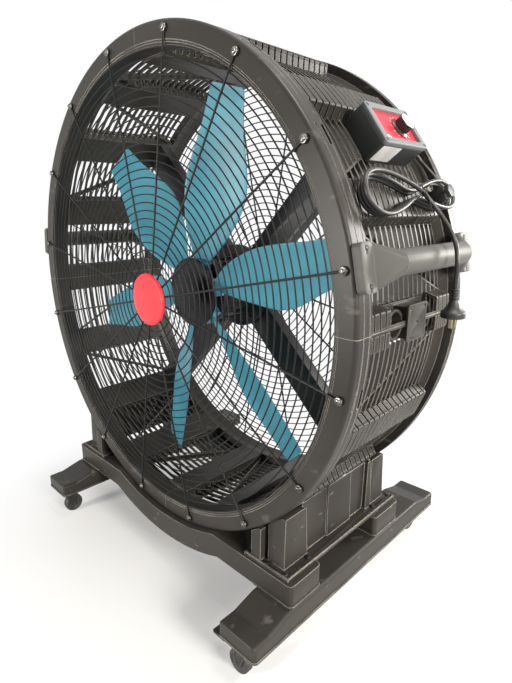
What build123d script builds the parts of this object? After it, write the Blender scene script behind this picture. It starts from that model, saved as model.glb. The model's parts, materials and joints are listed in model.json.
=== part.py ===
from build123d import *
import os
from math import asin, cos, degrees, floor, pi, radians, sin, sqrt, tan

# A large drum fan on a castored base. Millimetres. The source works about the drum axis: the
# origin is the middle of the drum's front face, +Y runs back along the axis, +Z is up, and an
# angle round the drum is counted from +X towards +Z. Each piece is moved to the floor origin
# when it is written.

# Drum
drum_depth = 367.5
ring_outer_r = 536.0
mouth_r = 493.0
front_band_depth = 42.0
rear_band_start = 314.0
rear_flange_width = 20.5
band_wall = 4.0
web_thickness = 5.0
ring_edge_round = 7.0
bolt_circle_r = 520.0
bolt_count = 16
slot_length = 37.0
front_slot_width = 4.0
back_slot_width = 7.0

# Louvre zone
slat_count = 15
slat_pitch = 17.0
slat_thickness = 3.0
slat_inner_r = 506.0
slat_outer_r = 514.0
block_outer_r = 535.0
block_thickness = 12.5
block_base_half = 4.3
block_top_half = 3.2
wall_inner_r = 488.0
wall_outer_r = 496.0
neck_inner_r = 490.0
window_rib_width = 3.0
window_rib_depth = 15.0
window_rib_outer_r = 515.5

# Guards
guard_thickness = 4.5
guard_wire = 2.8
spoke_width = 4.5
guard_ring_count = 26
first_ring_r = 74.0
last_ring_r = 489.0
guard_centre_r = 52.0
eyelet_r = 7.5
badge_r = 58.0
badge_depth = 8.5

# Rotor and motor
blade_count = 6
blade_phase = 13.5
rotor_plane_y = 130.0
hub_r = 82.0
hub_boss_r = 37.0
hub_plate_thickness = 12.0
blade_root_width = 40.0
blade_root_height = 24.0
blade_thickness = 4.0
blade_tip_r = 450.0
cap_height = 18.0
cap_rim = 6.0
cap_wall = 4.0
shaft_r = 8.0
motor_r = 75.0
motor_wall = 5.0
motor_front_y = 165.0
motor_flange_r = 105.0
motor_flange_thickness = 6.0
bearing_r = 16.0
bearing_width = 10.0
stator_inner_r = 46.0
stator_start = 24.0
stator_length = 52.0
core_inset = 3.0
air_gap = 0.6
arm_front_y = 270.0
arm_width = 75.0
arm_depth = 28.0
arm_sheet = 3.0
arm_start_r = 60.0
arm_angles = (45, 135, 225, 315)

# Handles
handle_angles = (11.25, 168.75)
handle_tube_r = 21.0
handle_axis_r = 565.0
handle_block_width = 75.0
handle_block_depth = 30.0
handle_block_top = 552.0
handle_flare_length = 40.0
handle_screw_offset = 28.0

# Side mounts
mount_face_x = 538.0
mount_plate_size = 64.0
mount_plate_thickness = 4.0
mount_hole_spacing = 50.0
mount_hole_r = 2.25
pedestal_size = 56.0
recess_floor_r = 505.0
recess_half_length = 80.0
boss_r = 26.0
boss_wall = 4.0
boss_offset = 52.0
boss_top_x = 525.0
rail_inner_x = 527.0
rail_outer_x = 532.0
rail_height = 9.0

# Control box
box_angle = 35.5
box_middle_y = 216.0
box_length = 140.0
box_width = 84.0
box_face_r = 563.0
box_wall = 3.0
bezel_thickness = 8.0
bezel_screw_inset = 6.5
window_length = 114.0
window_width = 62.0
panel_thickness = 2.0
knob_offset = 17.0
knob_skirt_r = 20.0
knob_grip_r = 15.0
knob_height = 19.5
knob_shaft_r = 3.0

# Cord
gland_r = 8.0
gland_x = 527.0
gland_z = -20.0
gland_length = 16.0
cord_d = 7.5
cord_rest_gap = 0.9
layer_step = 8.6
hank_angle = 22.5
hank_turns = 2.75
loop_points = 16
waist_y = 192.0
waist_half = 3.0
left_reach = 144.0
right_reach = 134.0
reach_growth = 4.0
left_lobe = 29.0
right_lobe = 20.0
lobe_growth = 2.5
holder_y = 293.0
holder_width = 24.0
holder_height = 30.0
holder_head_r = 13.0
holder_head_height = 8.0
plug_x = 591.0
plug_y = 202.0
plug_top_z = 61.0
plug_width = 40.0

# Base
axis_height = 676.0
beam_top_z = -500.0
beam_height = 50.0
cross_half_length = 426.0
front_cross_y = (-14.0, 80.0)
rear_cross_y = (283.0, 387.0)
cradle_bottom_r = 592.0
cradle_flat_x = 211.0
foot_inner_x = 332.0
foot_outer_x = 430.0
foot_front_y = -117.0
foot_rear_y = 577.0
foot_bottom_z = -598.0
foot_toe_height = 34.0
foot_toe_length = 40.0
foot_slope_length = 54.0
foot_wall = 5.0
bracket_inner_x = 293.0
bracket_outer_x = 413.0
bracket_plate_thickness = 6.0
bracket_link_width = 45.0
bracket_screw_x = (299.0, 350.0, 398.0)
inner_pillar_x = (309.0, 335.0)
outer_pillar_x = (345.0, 389.0)
panel_wall_x = (372.0, 382.0)
inner_pillar_top_z = -425.0
front_pillar_top_z = -385.0
rear_pillar_top_z = -378.0
panel_wall_top_z = -374.0
screw_head_r = 6.0
screw_bore_r = 2.7
bracket_bore_r = 3.1

# Casters
caster_x = 381.0
caster_front_y = -90.0
caster_rear_y = 550.0
wheel_r = 25.0
wheel_width = 20.0
caster_trail = 15.0
axle_r = 4.0
kingpin_r = 5.0
caster_plate_thickness = 3.0
caster_screw_x = 24.0
caster_screw_y = 18.0

# Fits
seat_gap = 0.3
running_fit = 0.05
press_fit = 0.02

window_step = 360 / bolt_count
first_bolt_angle = window_step / 2
middle_y = drum_depth / 2
first_slat_y = front_band_depth + slat_pitch
box_bottom_r = slat_outer_r + seat_gap
block_base_half_width = slat_outer_r * sin(radians(block_base_half))


def at_angle(shape, angle):
    """Turns a piece built on the +X side of the drum to an angle round the drum."""
    return Rot(0, -angle, 0) * shape


def block(x0, x1, y0, y1, z0, z1):
    """A box between two corners."""
    return Pos((x0 + x1) / 2, (y0 + y1) / 2, (z0 + z1) / 2) * Box(x1 - x0, y1 - y0, z1 - z0)


def rod(start, end, radius):
    """A round bar from one point to another."""
    plane = Plane(origin=start, z_dir=Vector(*end) - Vector(*start))
    length = (Vector(*end) - Vector(*start)).length
    return extrude(plane * Circle(radius), amount=length)


def outline(corners):
    """A closed flat face; each corner is (x, y) or (x, y, rounding radius)."""
    face = Face(Wire.make_polygon([Vector(*corner[:2]) for corner in corners], close=True))
    for corner in corners:
        if len(corner) == 3:
            place = Vector(*corner[:2])
            nearest = min(face.vertices(), key=lambda v: (Vector(*tuple(v)) - place).length)
            face = face.fillet_2d(corner[2], [nearest])
    return face


def polar(radius, angle):
    """The point at a radius and an angle on the flat face of the drum."""
    return (radius * cos(radians(angle)), radius * sin(radians(angle)))


def sector(inner_r, outer_r, from_angle, to_angle, outer_from=None, outer_to=None):
    """The edges of a ring sector; its outer arc may end at other angles than its inner one."""
    outer_from = from_angle if outer_from is None else outer_from
    outer_to = to_angle if outer_to is None else outer_to
    inner_mid = (from_angle + to_angle) / 2
    outer_mid = (outer_from + outer_to) / 2
    inner = [polar(inner_r, a) for a in (from_angle, inner_mid, to_angle)]
    outer = [polar(outer_r, a) for a in (outer_to, outer_mid, outer_from)]
    return Wire([ThreePointArc(*inner), Line(inner[2], outer[0]),
                 ThreePointArc(*outer), Line(outer[2], inner[0])])


def along_axis(face, y0, y1):
    """A face drawn across the drum, made solid between two depths."""
    return Pos(0, y0, 0) * extrude(Plane.XZ * face, amount=y1 - y0, dir=(0, 1, 0))


def turned(face, arc=360):
    """A half section, radius across and depth up, turned about the drum axis."""
    return revolve(face, Axis.Y, arc)


def front_band_section():
    """The hollow front band, with two small steps at the mouth and two grooves on its side."""
    step = 1.5
    outer = outline([(mouth_r, front_band_depth), (mouth_r, 2 * step), (mouth_r + 5, 2 * step),
                     (mouth_r + 5, step), (mouth_r + 9, step), (mouth_r + 9, 0),
                     (ring_outer_r, 0, ring_edge_round), (ring_outer_r, front_band_depth, 1)])
    hollow = outline([(mouth_r + band_wall, web_thickness + 2 * step),
                      (ring_outer_r - band_wall, web_thickness + 2 * step, 2),
                      (ring_outer_r - band_wall, front_band_depth - band_wall),
                      (mouth_r + band_wall, front_band_depth - band_wall)])
    section = outer - hollow
    for y in (20.0, 36.0):
        section -= Pos(ring_outer_r, y) * Rectangle(2 * 1.2, 1.6)
    return section


def rear_band_section():
    """The rear band: a smooth concave wall that steps up to the rear flange."""
    step = 1.5
    flange_y = drum_depth - rear_flange_width
    neck_r = slat_outer_r + 4
    rise = Wire([Line((neck_inner_r, rear_band_start), (slat_outer_r - 2, rear_band_start)),
                 ThreePointArc((slat_outer_r - 2, rear_band_start),
                               (slat_outer_r - 0.5, (rear_band_start + flange_y) / 2),
                               (neck_r, flange_y)),
                 Line((neck_r, flange_y), (ring_outer_r, flange_y)),
                 Line((ring_outer_r, flange_y), (ring_outer_r, drum_depth)),
                 Line((ring_outer_r, drum_depth), (mouth_r + 9, drum_depth)),
                 Line((mouth_r + 9, drum_depth), (mouth_r + 9, drum_depth - step)),
                 Line((mouth_r + 9, drum_depth - step), (mouth_r, drum_depth - 2 * step)),
                 Line((mouth_r, drum_depth - 2 * step), (mouth_r, flange_y - 15)),
                 Line((mouth_r, flange_y - 15), (neck_inner_r, rear_band_start))])
    face = Face(rise)
    edge = max(face.vertices(), key=lambda v: v.X + v.Y)
    face = face.fillet_2d(ring_edge_round, [edge])
    inner_r = mouth_r + band_wall
    hollow = outline([(inner_r, rear_band_start + band_wall),
                      (slat_outer_r - 2 - band_wall, rear_band_start + band_wall),
                      (neck_r - band_wall, flange_y + band_wall),
                      (ring_outer_r - band_wall, flange_y + band_wall),
                      (ring_outer_r - band_wall, drum_depth - web_thickness - 2 * step, 2),
                      (inner_r, drum_depth - web_thickness - 2 * step)])
    return face - hollow


def bulge(angle):
    """A row of hollow blocks on the drum: a closed inner wall with a slotted cover over it."""
    shoulder_r = block_outer_r - 6
    wall_angle = degrees(band_wall / block_outer_r)

    def cover(shrink, bottom, top, shoulder):
        base, crown = block_base_half - shrink, block_top_half - shrink
        crown_arc = ThreePointArc(polar(top, -crown), polar(top, 0), polar(top, crown))
        base_arc = ThreePointArc(polar(bottom, base), polar(bottom, 0), polar(bottom, -base))
        sides = []
        for sign in (1, -1):
            foot = polar(slat_outer_r, sign * base)
            bend = polar(shoulder, sign * (crown + 0.4))
            round_off = polar(top - 1.3, sign * (crown + 0.22))
            sides += [Line(polar(bottom, sign * base), foot), Line(foot, bend),
                      ThreePointArc(bend, round_off, polar(top, sign * crown))]
        return Face(Wire([crown_arc, base_arc] + sides))

    solid = along_axis(cover(0, wall_inner_r, block_outer_r, shoulder_r),
                       front_band_depth, rear_band_start)
    solid -= along_axis(cover(wall_angle, wall_outer_r, block_outer_r - band_wall,
                              shoulder_r - band_wall), front_band_depth, rear_band_start)
    slit = slat_pitch - block_thickness
    cuts = []
    for k in range(slat_count + 1):
        y = first_slat_y + (k - 0.5) * slat_pitch
        cuts.append(block(wall_outer_r, ring_outer_r, y - slit / 2, y + slit / 2, -60, 60))
    return at_angle(solid - cuts, angle)


def window_rib(index):
    """A thin straight rib that crosses a louvre window on the slant, each way in turn."""
    centre = first_bolt_angle + index * window_step
    half = window_step / 2 - block_base_half + 0.4
    lean = 1 if index % 2 == 0 else -1
    middle_r = window_rib_outer_r - window_rib_depth / 2
    start = Vector(*polar(middle_r, centre + lean * half))
    end = Vector(*polar(middle_r, centre - lean * half))
    tail = Vector(start.X, front_band_depth - 1, start.Y)
    head = Vector(end.X, rear_band_start + 1, end.Y)
    outward = Vector(cos(radians(centre)), 0, sin(radians(centre)))
    plane = Plane(origin=tail, x_dir=outward, z_dir=head - tail)
    profile = plane * Rectangle(window_rib_depth, window_rib_width)
    return extrude(profile, amount=(head - tail).length)


def drum_quarter():
    """One quarter of the drum, from 0 to 90 degrees, without its fixing holes."""
    wedge = along_axis(Face(sector(wall_inner_r - 20, ring_outer_r + 20, 0, 90)), 0, drum_depth)
    rows = [bulge(window_step * k) for k in range(1, 4)]
    rows += [bulge(0) & wedge, bulge(90) & wedge]
    slat = Face(sector(slat_inner_r, slat_outer_r, 0, 90))
    slats = [along_axis(slat, first_slat_y + k * slat_pitch - slat_thickness / 2,
                        first_slat_y + k * slat_pitch + slat_thickness / 2)
             for k in range(slat_count)]
    ribs = [window_rib(k) for k in range(4)]
    bands = [Rot(0, -90, 0) * turned(front_band_section(), 90),
             Rot(0, -90, 0) * turned(rear_band_section(), 90)]
    body = bands[0] + bands[1:] + rows + slats + ribs
    flange_y = drum_depth - rear_flange_width
    cuts = []
    for k in range(4):
        angle = first_bolt_angle + k * window_step
        for y, width in ((18.0, front_slot_width), (33.5, back_slot_width),
                         (flange_y + 7.5, front_slot_width)):
            slot = block(ring_outer_r - 10, ring_outer_r + 5, y - width / 2, y + width / 2,
                         -slot_length / 2, slot_length / 2)
            cuts.append(at_angle(slot, angle))
        for y in (0, drum_depth):
            cuts.append(at_angle(rod((bolt_circle_r, y - 15, 0), (bolt_circle_r, y + 15, 0), screw_bore_r),
                                 angle))
    return body - cuts


def side_pad_half():
    """Half the height of the side mount's pad, inside the walls of the blocks."""
    return wall_outer_r * sin(radians(block_base_half)) - band_wall - 1


def side_recess():
    """What the side mount and its rails take away from the blocks at the side seams."""
    half = side_pad_half() + seat_gap
    length = recess_half_length
    well = block(wall_outer_r, ring_outer_r, middle_y - length, middle_y + length, -half, half)
    pocket = block(recess_floor_r, ring_outer_r + 20, middle_y - recess_half_length,
                   middle_y + recess_half_length, -block_base_half_width,
                   block_base_half_width)
    notch = block(rail_inner_x - seat_gap, ring_outer_r + 20, front_band_depth,
                  drum_depth - rear_flange_width, -rail_height / 2 - seat_gap,
                  rail_height / 2 + seat_gap)
    return pocket + notch + well


def fixing_holes():
    """Holes in the drum for the handle screws and for the screws of the motor arms."""
    holes = []
    for angle in handle_angles:
        for y in (handle_block_depth / 2, drum_depth - handle_block_depth / 2):
            for z in (-handle_screw_offset, handle_screw_offset):
                holes.append(at_angle(rod((ring_outer_r - 20, y, z), (ring_outer_r + 10, y, z),
                                          screw_bore_r), angle))
    for angle in arm_angles:
        for z in (-arm_width / 4, arm_width / 4):
            y = arm_front_y + arm_depth / 2
            holes.append(at_angle(rod((wall_inner_r - 5, y, z), (wall_outer_r + 5, y, z), screw_bore_r),
                                  angle))
    return holes


def guard_face():
    """The wire guard as one holed face: rings, spokes and a closed centre."""
    ring_step = (last_ring_r - first_ring_r) / (guard_ring_count - 1)
    edges_r = [guard_centre_r - guard_wire / 2]
    edges_r += [first_ring_r + k * ring_step for k in range(guard_ring_count)]
    cells = []
    for inner, outer in zip(edges_r[:-1], edges_r[1:]):
        r0, r1 = inner + guard_wire / 2, outer - guard_wire / 2
        a0 = degrees(asin(spoke_width / 2 / r0))
        a1 = degrees(asin(spoke_width / 2 / r1))
        for k in range(bolt_count):
            angle = first_bolt_angle + k * window_step
            cells.append(sector(r0, r1, angle + a0, angle + window_step - a0,
                                angle + a1, angle + window_step - a1))
    rim = Wire([Edge.make_circle(last_ring_r + guard_wire / 2)])
    return Face(rim, cells)


def guard(y0, y1):
    """A guard between two depths, with an eyelet on the end of each spoke."""
    tabs = []
    for k in range(bolt_count):
        angle = first_bolt_angle + k * window_step
        tab = block(last_ring_r, bolt_circle_r, y0, y1, -spoke_width / 2, spoke_width / 2)
        eyelet = rod((bolt_circle_r, y0, 0), (bolt_circle_r, y1, 0), eyelet_r)
        hole = rod((bolt_circle_r, y0 - 1, 0), (bolt_circle_r, y1 + 1, 0), screw_bore_r)
        tabs.append(at_angle(tab + eyelet - hole, angle))
    return along_axis(guard_face(), y0, y1) + tabs


def guard_screws(face_y, inward):
    """Washer, pan head and shank at each eyelet; inward is +1 or -1 along the axis."""
    screw = rod((bolt_circle_r, face_y, 0), (bolt_circle_r, face_y - 1.2 * inward, 0), 7)
    screw += rod((bolt_circle_r, face_y - 1.2 * inward, 0), (bolt_circle_r, face_y - 5 * inward, 0),
                 5)
    screw += rod((bolt_circle_r, face_y, 0), (bolt_circle_r, face_y + 16 * inward, 0), 2.5)
    return [at_angle(screw, first_bolt_angle + k * window_step) for k in range(bolt_count)]


def centre_badge():
    """The round badge in front of the guard, a low dish with a rounded rim."""
    front = -guard_thickness - badge_depth
    return turned(outline([(0, front + 1.5), (badge_r - 8, front + 1), (badge_r, front + 3, 2),
                           (badge_r, -guard_thickness), (0, -guard_thickness)]))


def rotor_hub():
    """Boss and rear plate of the rotor, bored for the shaft and for the blade screws."""
    front = rotor_plane_y - blade_root_height / 2
    back = rotor_plane_y + blade_root_height / 2
    bore = shaft_r + press_fit
    hub = turned(outline([(bore, front), (hub_boss_r, front), (hub_boss_r, back), (hub_r, back),
                          (hub_r, back + hub_plate_thickness, 2),
                          (bore, back + hub_plate_thickness)]))
    return hub - [at_angle(rod((x, back - 5, z), (x, back + 20, z), screw_bore_r), angle)
                  for angle in blade_angles() for x, z in blade_screw_places()]


def blade_angles():
    """The angle of each blade at rest."""
    return [blade_phase + k * 360 / blade_count for k in range(blade_count)]


def blade_screw_places():
    """Radius and side offset of the two screws in each blade root."""
    return [((hub_boss_r + hub_r) / 2, side * blade_root_width / 4) for side in (-1, 1)]


def hub_cap():
    """The domed cap over the blade roots."""
    back = rotor_plane_y - blade_root_height / 2
    front = back - cap_height
    rim = back - cap_rim
    wall = cap_wall
    height = rim - front
    dome_r = (hub_r ** 2 + height ** 2) / (2 * height)
    centre_y = front + dome_r
    inner_r = hub_r - wall

    def dome(radius, edge_r):
        spread = asin(edge_r / radius)
        places = [(radius * sin(a), centre_y - radius * cos(a)) for a in (0, spread / 2, spread)]
        return ThreePointArc(*places), places

    outer, outer_places = dome(dome_r, hub_r)
    inner, inner_places = dome(dome_r - wall, inner_r)
    section = Wire([outer, Line(outer_places[2], (hub_r, back)),
                    Line((hub_r, back), (inner_r, back)), Line((inner_r, back), inner_places[2]),
                    inner, Line(inner_places[0], outer_places[0])])
    return turned(Face(section))


def blade():
    """A pitched, cambered blade on its square root, built towards +X."""
    # radius, chord, pitch in degrees, and how far the chord's middle sits round the turn
    stations = [(hub_r - 3, 36.0, 34.0, 0.0), (150.0, 104.0, 30.0, -3.0),
                (228.0, 145.0, 26.0, -8.0), (390.0, 97.0, 17.5, 0.0),
                (blade_tip_r, 82.0, 15.5, 3.0)]
    faces = []
    for radius, chord, pitch, shift in stations:
        run = Vector(0, -sin(radians(pitch)), cos(radians(pitch)))
        across = Vector(0, cos(radians(pitch)), sin(radians(pitch)))
        middle = Vector(radius, rotor_plane_y, shift)
        belly = 0.05 * chord
        places = [(-0.5, 0), (-0.17, 1), (0.17, 1), (0.5, 0)]
        back = [middle + run * (s * chord) + across * (b * belly + blade_thickness / 2)
                for s, b in places]
        front = [middle + run * (s * chord) + across * (b * belly - blade_thickness / 2)
                 for s, b in reversed(places)]
        faces.append(Face(Wire.make_polygon(back + front, close=True)))
    root = block(hub_boss_r + seat_gap, hub_r - 2, rotor_plane_y - blade_root_height / 2,
                 rotor_plane_y + blade_root_height / 2, -blade_root_width / 2,
                 blade_root_width / 2)
    holes = [rod((x, rotor_plane_y, z), (x, rotor_plane_y + 20, z), screw_bore_r)
             for x, z in blade_screw_places()]
    return (loft(faces, ruled=True) + root) - holes


def blade_screws():
    """Two screws through the hub plate into each blade root."""
    back = rotor_plane_y + blade_root_height / 2 + hub_plate_thickness
    screws = []
    for angle in blade_angles():
        for x, z in blade_screw_places():
            screw = rod((x, back, z), (x, back + 3.5, z), 5) + rod(
                (x, back - hub_plate_thickness - 8, z), (x, back, z), 2.5)
            screws.append(at_angle(screw, angle))
    return Compound(screws)


def motor_shaft():
    """The shaft from the hub to the rear bearing, with the rotor core pressed on it."""
    start = rotor_plane_y - blade_root_height / 2 + 2
    end = arm_front_y - motor_flange_thickness - 2
    shaft = rod((0, start, 0), (0, end, 0), shaft_r)
    core_start = motor_front_y + stator_start + core_inset
    core_end = motor_front_y + stator_start + stator_length - core_inset
    return shaft + rod((0, core_start, 0), (0, core_end, 0), stator_inner_r - air_gap)


def motor_stator():
    """The wound ring inside the motor housing."""
    front = motor_front_y + stator_start
    back = front + stator_length
    outer_r = motor_r - motor_wall - press_fit
    return turned(outline([(stator_inner_r, front), (outer_r, front), (outer_r, back),
                           (stator_inner_r, back)]))


def motor_housing():
    """The motor's cup: a front wall with the bearing seat, and a finned side."""
    back = arm_front_y - motor_flange_thickness
    cup = turned(outline([(bearing_r, motor_front_y), (motor_r, motor_front_y, 6),
                          (motor_r, back), (motor_r - motor_wall, back),
                          (motor_r - motor_wall, motor_front_y + bearing_width),
                          (bearing_r, motor_front_y + bearing_width)]))
    fins = [at_angle(block(motor_r - 1, motor_r + 7, motor_front_y + 14, back - 6, -1.5, 1.5),
                     360 * k / 24) for k in range(24)]
    return cup + fins


def motor_end_bell():
    """The rear flange of the motor, with the rear bearing seat, bored for the arm screws."""
    front = arm_front_y - motor_flange_thickness
    seat = front - bearing_width - 2
    bell = turned(outline([(0, arm_front_y), (motor_flange_r, arm_front_y),
                           (motor_flange_r, front), (bearing_r + 8, front),
                           (bearing_r + 8, seat), (bearing_r, seat), (bearing_r, front),
                           (0, front)]))
    return bell - [at_angle(hole, angle) for angle in arm_angles
                   for hole in arm_root_bores(front - 2, arm_front_y + 2, screw_bore_r)]


def arm_root_bores(y0, y1, radius):
    """The two screw bores, or shanks, at the motor end of an arm."""
    x = (arm_start_r + motor_flange_r) / 2 + 4
    return [rod((x, y0, z), (x, y1, z), radius) for z in (-arm_width / 4, arm_width / 4)]


def motor_bearings():
    """Two ball bearings, drawn as plain rings, in the two ends of the motor."""
    seat = arm_front_y - motor_flange_thickness - bearing_width - 2
    rings = []
    for y in (motor_front_y, seat + 1):
        rings.append(turned(outline([(shaft_r + running_fit, y), (bearing_r - press_fit, y),
                                     (bearing_r - press_fit, y + bearing_width),
                                     (shaft_r + running_fit, y + bearing_width)])))
    return Compound(rings)


def motor_arm(angle):
    """A ribbed channel from the motor flange to the drum wall, its end closed by a plate."""
    y0, y1 = arm_front_y, arm_front_y + arm_depth
    half = arm_width / 2
    arm = block(arm_start_r, wall_inner_r + 5, y0, y0 + arm_sheet, -half, half)
    for side in (-1, 1):
        edge = side * half
        arm += block(arm_start_r, wall_inner_r + 5, y0, y1, min(edge, edge - side * arm_sheet),
                     max(edge, edge - side * arm_sheet))
        arm += block(motor_flange_r, wall_inner_r + 5, y0, y0 + 3 * arm_sheet,
                     side * half / 3 - 1.5, side * half / 3 + 1.5)
    arm += block(wall_inner_r - 8, wall_inner_r + 5, y0, y1, -half, half)
    arm &= rod((0, y0 - 1, 0), (0, y1 + 1, 0), wall_inner_r - press_fit * 5)
    middle = (y0 + y1) / 2
    arm -= arm_root_bores(y0 - 1, y1 + 1, screw_bore_r)
    arm -= [rod((wall_inner_r - 20, middle, z), (wall_inner_r + 5, middle, z), screw_bore_r)
            for z in (-arm_width / 4, arm_width / 4)]
    return at_angle(arm, angle)


def arm_screws():
    """Screws that hold each arm to the motor flange and to the drum wall."""
    screws = []
    head_y = arm_front_y + arm_sheet
    middle = arm_front_y + arm_depth / 2
    for angle in arm_angles:
        for shank in arm_root_bores(arm_front_y - motor_flange_thickness, head_y, 2.5):
            centre = shank.center()
            head = rod((centre.X, head_y, centre.Z), (centre.X, head_y + 4, centre.Z), 5)
            screws.append(at_angle(shank + head, angle))
        for z in (-arm_width / 4, arm_width / 4):
            inner = wall_inner_r - 8
            screw = rod((inner - 4, middle, z), (inner, middle, z), 5) + rod(
                (inner, middle, z), (wall_outer_r + 3, middle, z), 2.5)
            screws.append(at_angle(screw, angle))
    return screws


def handle():
    """A round grip between two flared feet that sit on the drum's rims, on the +X side."""
    foot_bottom = ring_outer_r + seat_gap
    half = handle_block_width / 2
    parts = []
    for back in (False, True):
        foot = block(foot_bottom, handle_block_top, 0, handle_block_depth, -half, half)
        foot = fillet(foot.edges().filter_by(Axis.X), 8)
        wide = Plane((handle_block_top - 8, handle_block_depth, 0), x_dir=(1, 0, 0),
                     z_dir=(0, 1, 0))
        narrow = Plane((handle_axis_r, handle_block_depth + handle_flare_length, 0),
                       x_dir=(1, 0, 0), z_dir=(0, 1, 0))
        flare = loft([wide * RectangleRounded(16, handle_block_width, 7),
                      narrow * RectangleRounded(2 * handle_tube_r - 0.2, 2 * handle_tube_r - 0.2,
                                                handle_tube_r - 0.2)])
        end = foot + flare
        for z in (-handle_screw_offset, handle_screw_offset):
            middle = handle_block_depth / 2
            end -= rod((foot_bottom - 1, middle, z), (handle_block_top + 1, middle, z), screw_bore_r)
            end -= rod((handle_block_top - 5, middle, z), (handle_block_top + 1, middle, z), 4.6)
        if back:
            end = Pos(0, drum_depth, 0) * mirror(end, Plane.XZ)
        parts.append(end)
    flare_end = handle_block_depth + handle_flare_length
    grip = rod((handle_axis_r, flare_end - 1, 0), (handle_axis_r, drum_depth - flare_end + 1, 0),
               handle_tube_r)
    return grip + parts


def handle_screws():
    """Two screws in each foot of both handles."""
    screws = []
    for angle in handle_angles:
        for y in (handle_block_depth / 2, drum_depth - handle_block_depth / 2):
            for z in (-handle_screw_offset, handle_screw_offset):
                seat = handle_block_top - 5
                screw = rod((seat, y, z), (seat + 3, y, z), 4.3)
                screw += rod((ring_outer_r - 12, y, z), (seat, y, z), 2.5)
                screws.append(at_angle(screw, angle))
    return screws


def side_mount():
    """The accessory mount at the side seam: pad, two ring bosses, pedestal and square plate."""
    pad_half = side_pad_half()
    length = recess_half_length - 2
    pad = block(wall_outer_r + seat_gap, recess_floor_r, middle_y - length, middle_y + length,
                -pad_half, pad_half)
    parts = []
    for side in (-1, 1):
        y = middle_y + side * boss_offset
        boss = rod((recess_floor_r - 1, y, 0), (boss_top_x, y, 0), boss_r)
        parts.append(boss - rod((recess_floor_r, y, 0), (boss_top_x + 1, y, 0),
                                boss_r - boss_wall))
    half = pedestal_size / 2
    plate_x = mount_face_x - mount_plate_thickness
    parts.append(block(recess_floor_r - 1, plate_x, middle_y - half, middle_y + half,
                       -half, half))
    plate_half = mount_plate_size / 2
    plate = block(plate_x, mount_face_x, middle_y - plate_half, middle_y + plate_half,
                  -plate_half, plate_half)
    parts.append(fillet(plate.edges().filter_by(Axis.X), 4))
    body = pad + parts
    hole_depth = 14
    cuts = [rod((mount_face_x - hole_depth, middle_y + y, z), (mount_face_x + 1, middle_y + y, z),
                mount_hole_r)
            for y, z in corner_places(mount_hole_spacing)]
    cuts.append(rod((mount_face_x - hole_depth, middle_y, 0), (mount_face_x + 1, middle_y, 0), 3))
    for side in (-1, 1):
        cuts.append(rail(side, seat_gap))
    return body - cuts


def corner_places(spacing):
    """Four places on a square about zero."""
    return [(y * spacing / 2, z * spacing / 2) for y in (-1, 1) for z in (-1, 1)]


def rail(side, gap=0.0):
    """The double rail from the pedestal to one end of the drum; gap widens it as a cutter."""
    if side < 0:
        y0, y1 = front_band_depth - gap, middle_y - pedestal_size / 2 + 6 + gap
    else:
        y0, y1 = middle_y + pedestal_size / 2 - 6 - gap, drum_depth - rear_flange_width + gap
    bar = block(rail_inner_x - gap, rail_outer_x + gap, y0, y1, -rail_height / 2 - gap,
                rail_height / 2 + gap)
    if gap == 0:
        bar -= block(rail_outer_x - 1.5, rail_outer_x + 1, y0 - 1, y1 + 1, -0.8, 0.8)
    return bar


def side_rails():
    """The four rails, two on each side of the drum."""
    rails = [rail(side) for side in (-1, 1)]
    return Compound([at_angle(bar, angle) for angle in (0, 180) for bar in rails])


def control_box():
    """The switch box's tray, open under its bezel, with the gland hole in its rear wall."""
    top = box_face_r - bezel_thickness
    half_y, half_z = box_length / 2, box_width / 2
    shell = block(box_bottom_r, top, box_middle_y - half_y, box_middle_y + half_y, -half_z, half_z)
    shell = fillet(shell.edges().filter_by(Axis.X), 6)
    shell -= block(box_bottom_r + box_wall, top + 1, box_middle_y - half_y + box_wall,
                   box_middle_y + half_y - box_wall, -half_z + box_wall, half_z - box_wall)
    posts = [rod((box_bottom_r + 1, box_middle_y + y, z), (top, box_middle_y + y, z), 5)
             for y, z in bezel_screw_places()]
    shell += posts
    cuts = [rod((top - 14, box_middle_y + y, z), (top + 1, box_middle_y + y, z), 1.6)
            for y, z in bezel_screw_places()]
    back = box_middle_y + half_y
    cuts.append(rod(gland_at(back - box_wall - 1), gland_at(back + 1), gland_r + seat_gap))
    return shell - cuts


def gland_at(y):
    """A point on the gland's axis, in the control box's own frame."""
    return (gland_x, y, gland_z)


def bezel_screw_places():
    """The four bezel screws, as offsets from the middle of the box."""
    across, down = box_length / 2 - bezel_screw_inset, box_width / 2 - bezel_screw_inset
    return [(y * across, z * down) for y in (-1, 1) for z in (-1, 1)]


def control_bezel():
    """The frame on the box, with the sunk window for the panel."""
    top = box_face_r - bezel_thickness
    half_y, half_z = box_length / 2, box_width / 2
    plate = block(top, box_face_r, box_middle_y - half_y, box_middle_y + half_y, -half_z, half_z)
    plate = fillet(plate.edges().filter_by(Axis.X), 6)
    plate = chamfer(plate.faces().sort_by(Axis.X)[-1].edges(), 1.2)
    window = block(top - 1, box_face_r + 1, box_middle_y - window_length / 2,
                   box_middle_y + window_length / 2, -window_width / 2, window_width / 2)
    plate -= fillet(window.edges().filter_by(Axis.X), 6)
    holes = [rod((top - 1, box_middle_y + y, z), (box_face_r + 1, box_middle_y + y, z), 1.9)
             for y, z in bezel_screw_places()]
    holes += [rod((box_face_r - 2, box_middle_y + y, z), (box_face_r + 1, box_middle_y + y, z), 3.8)
              for y, z in bezel_screw_places()]
    return plate - holes


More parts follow.
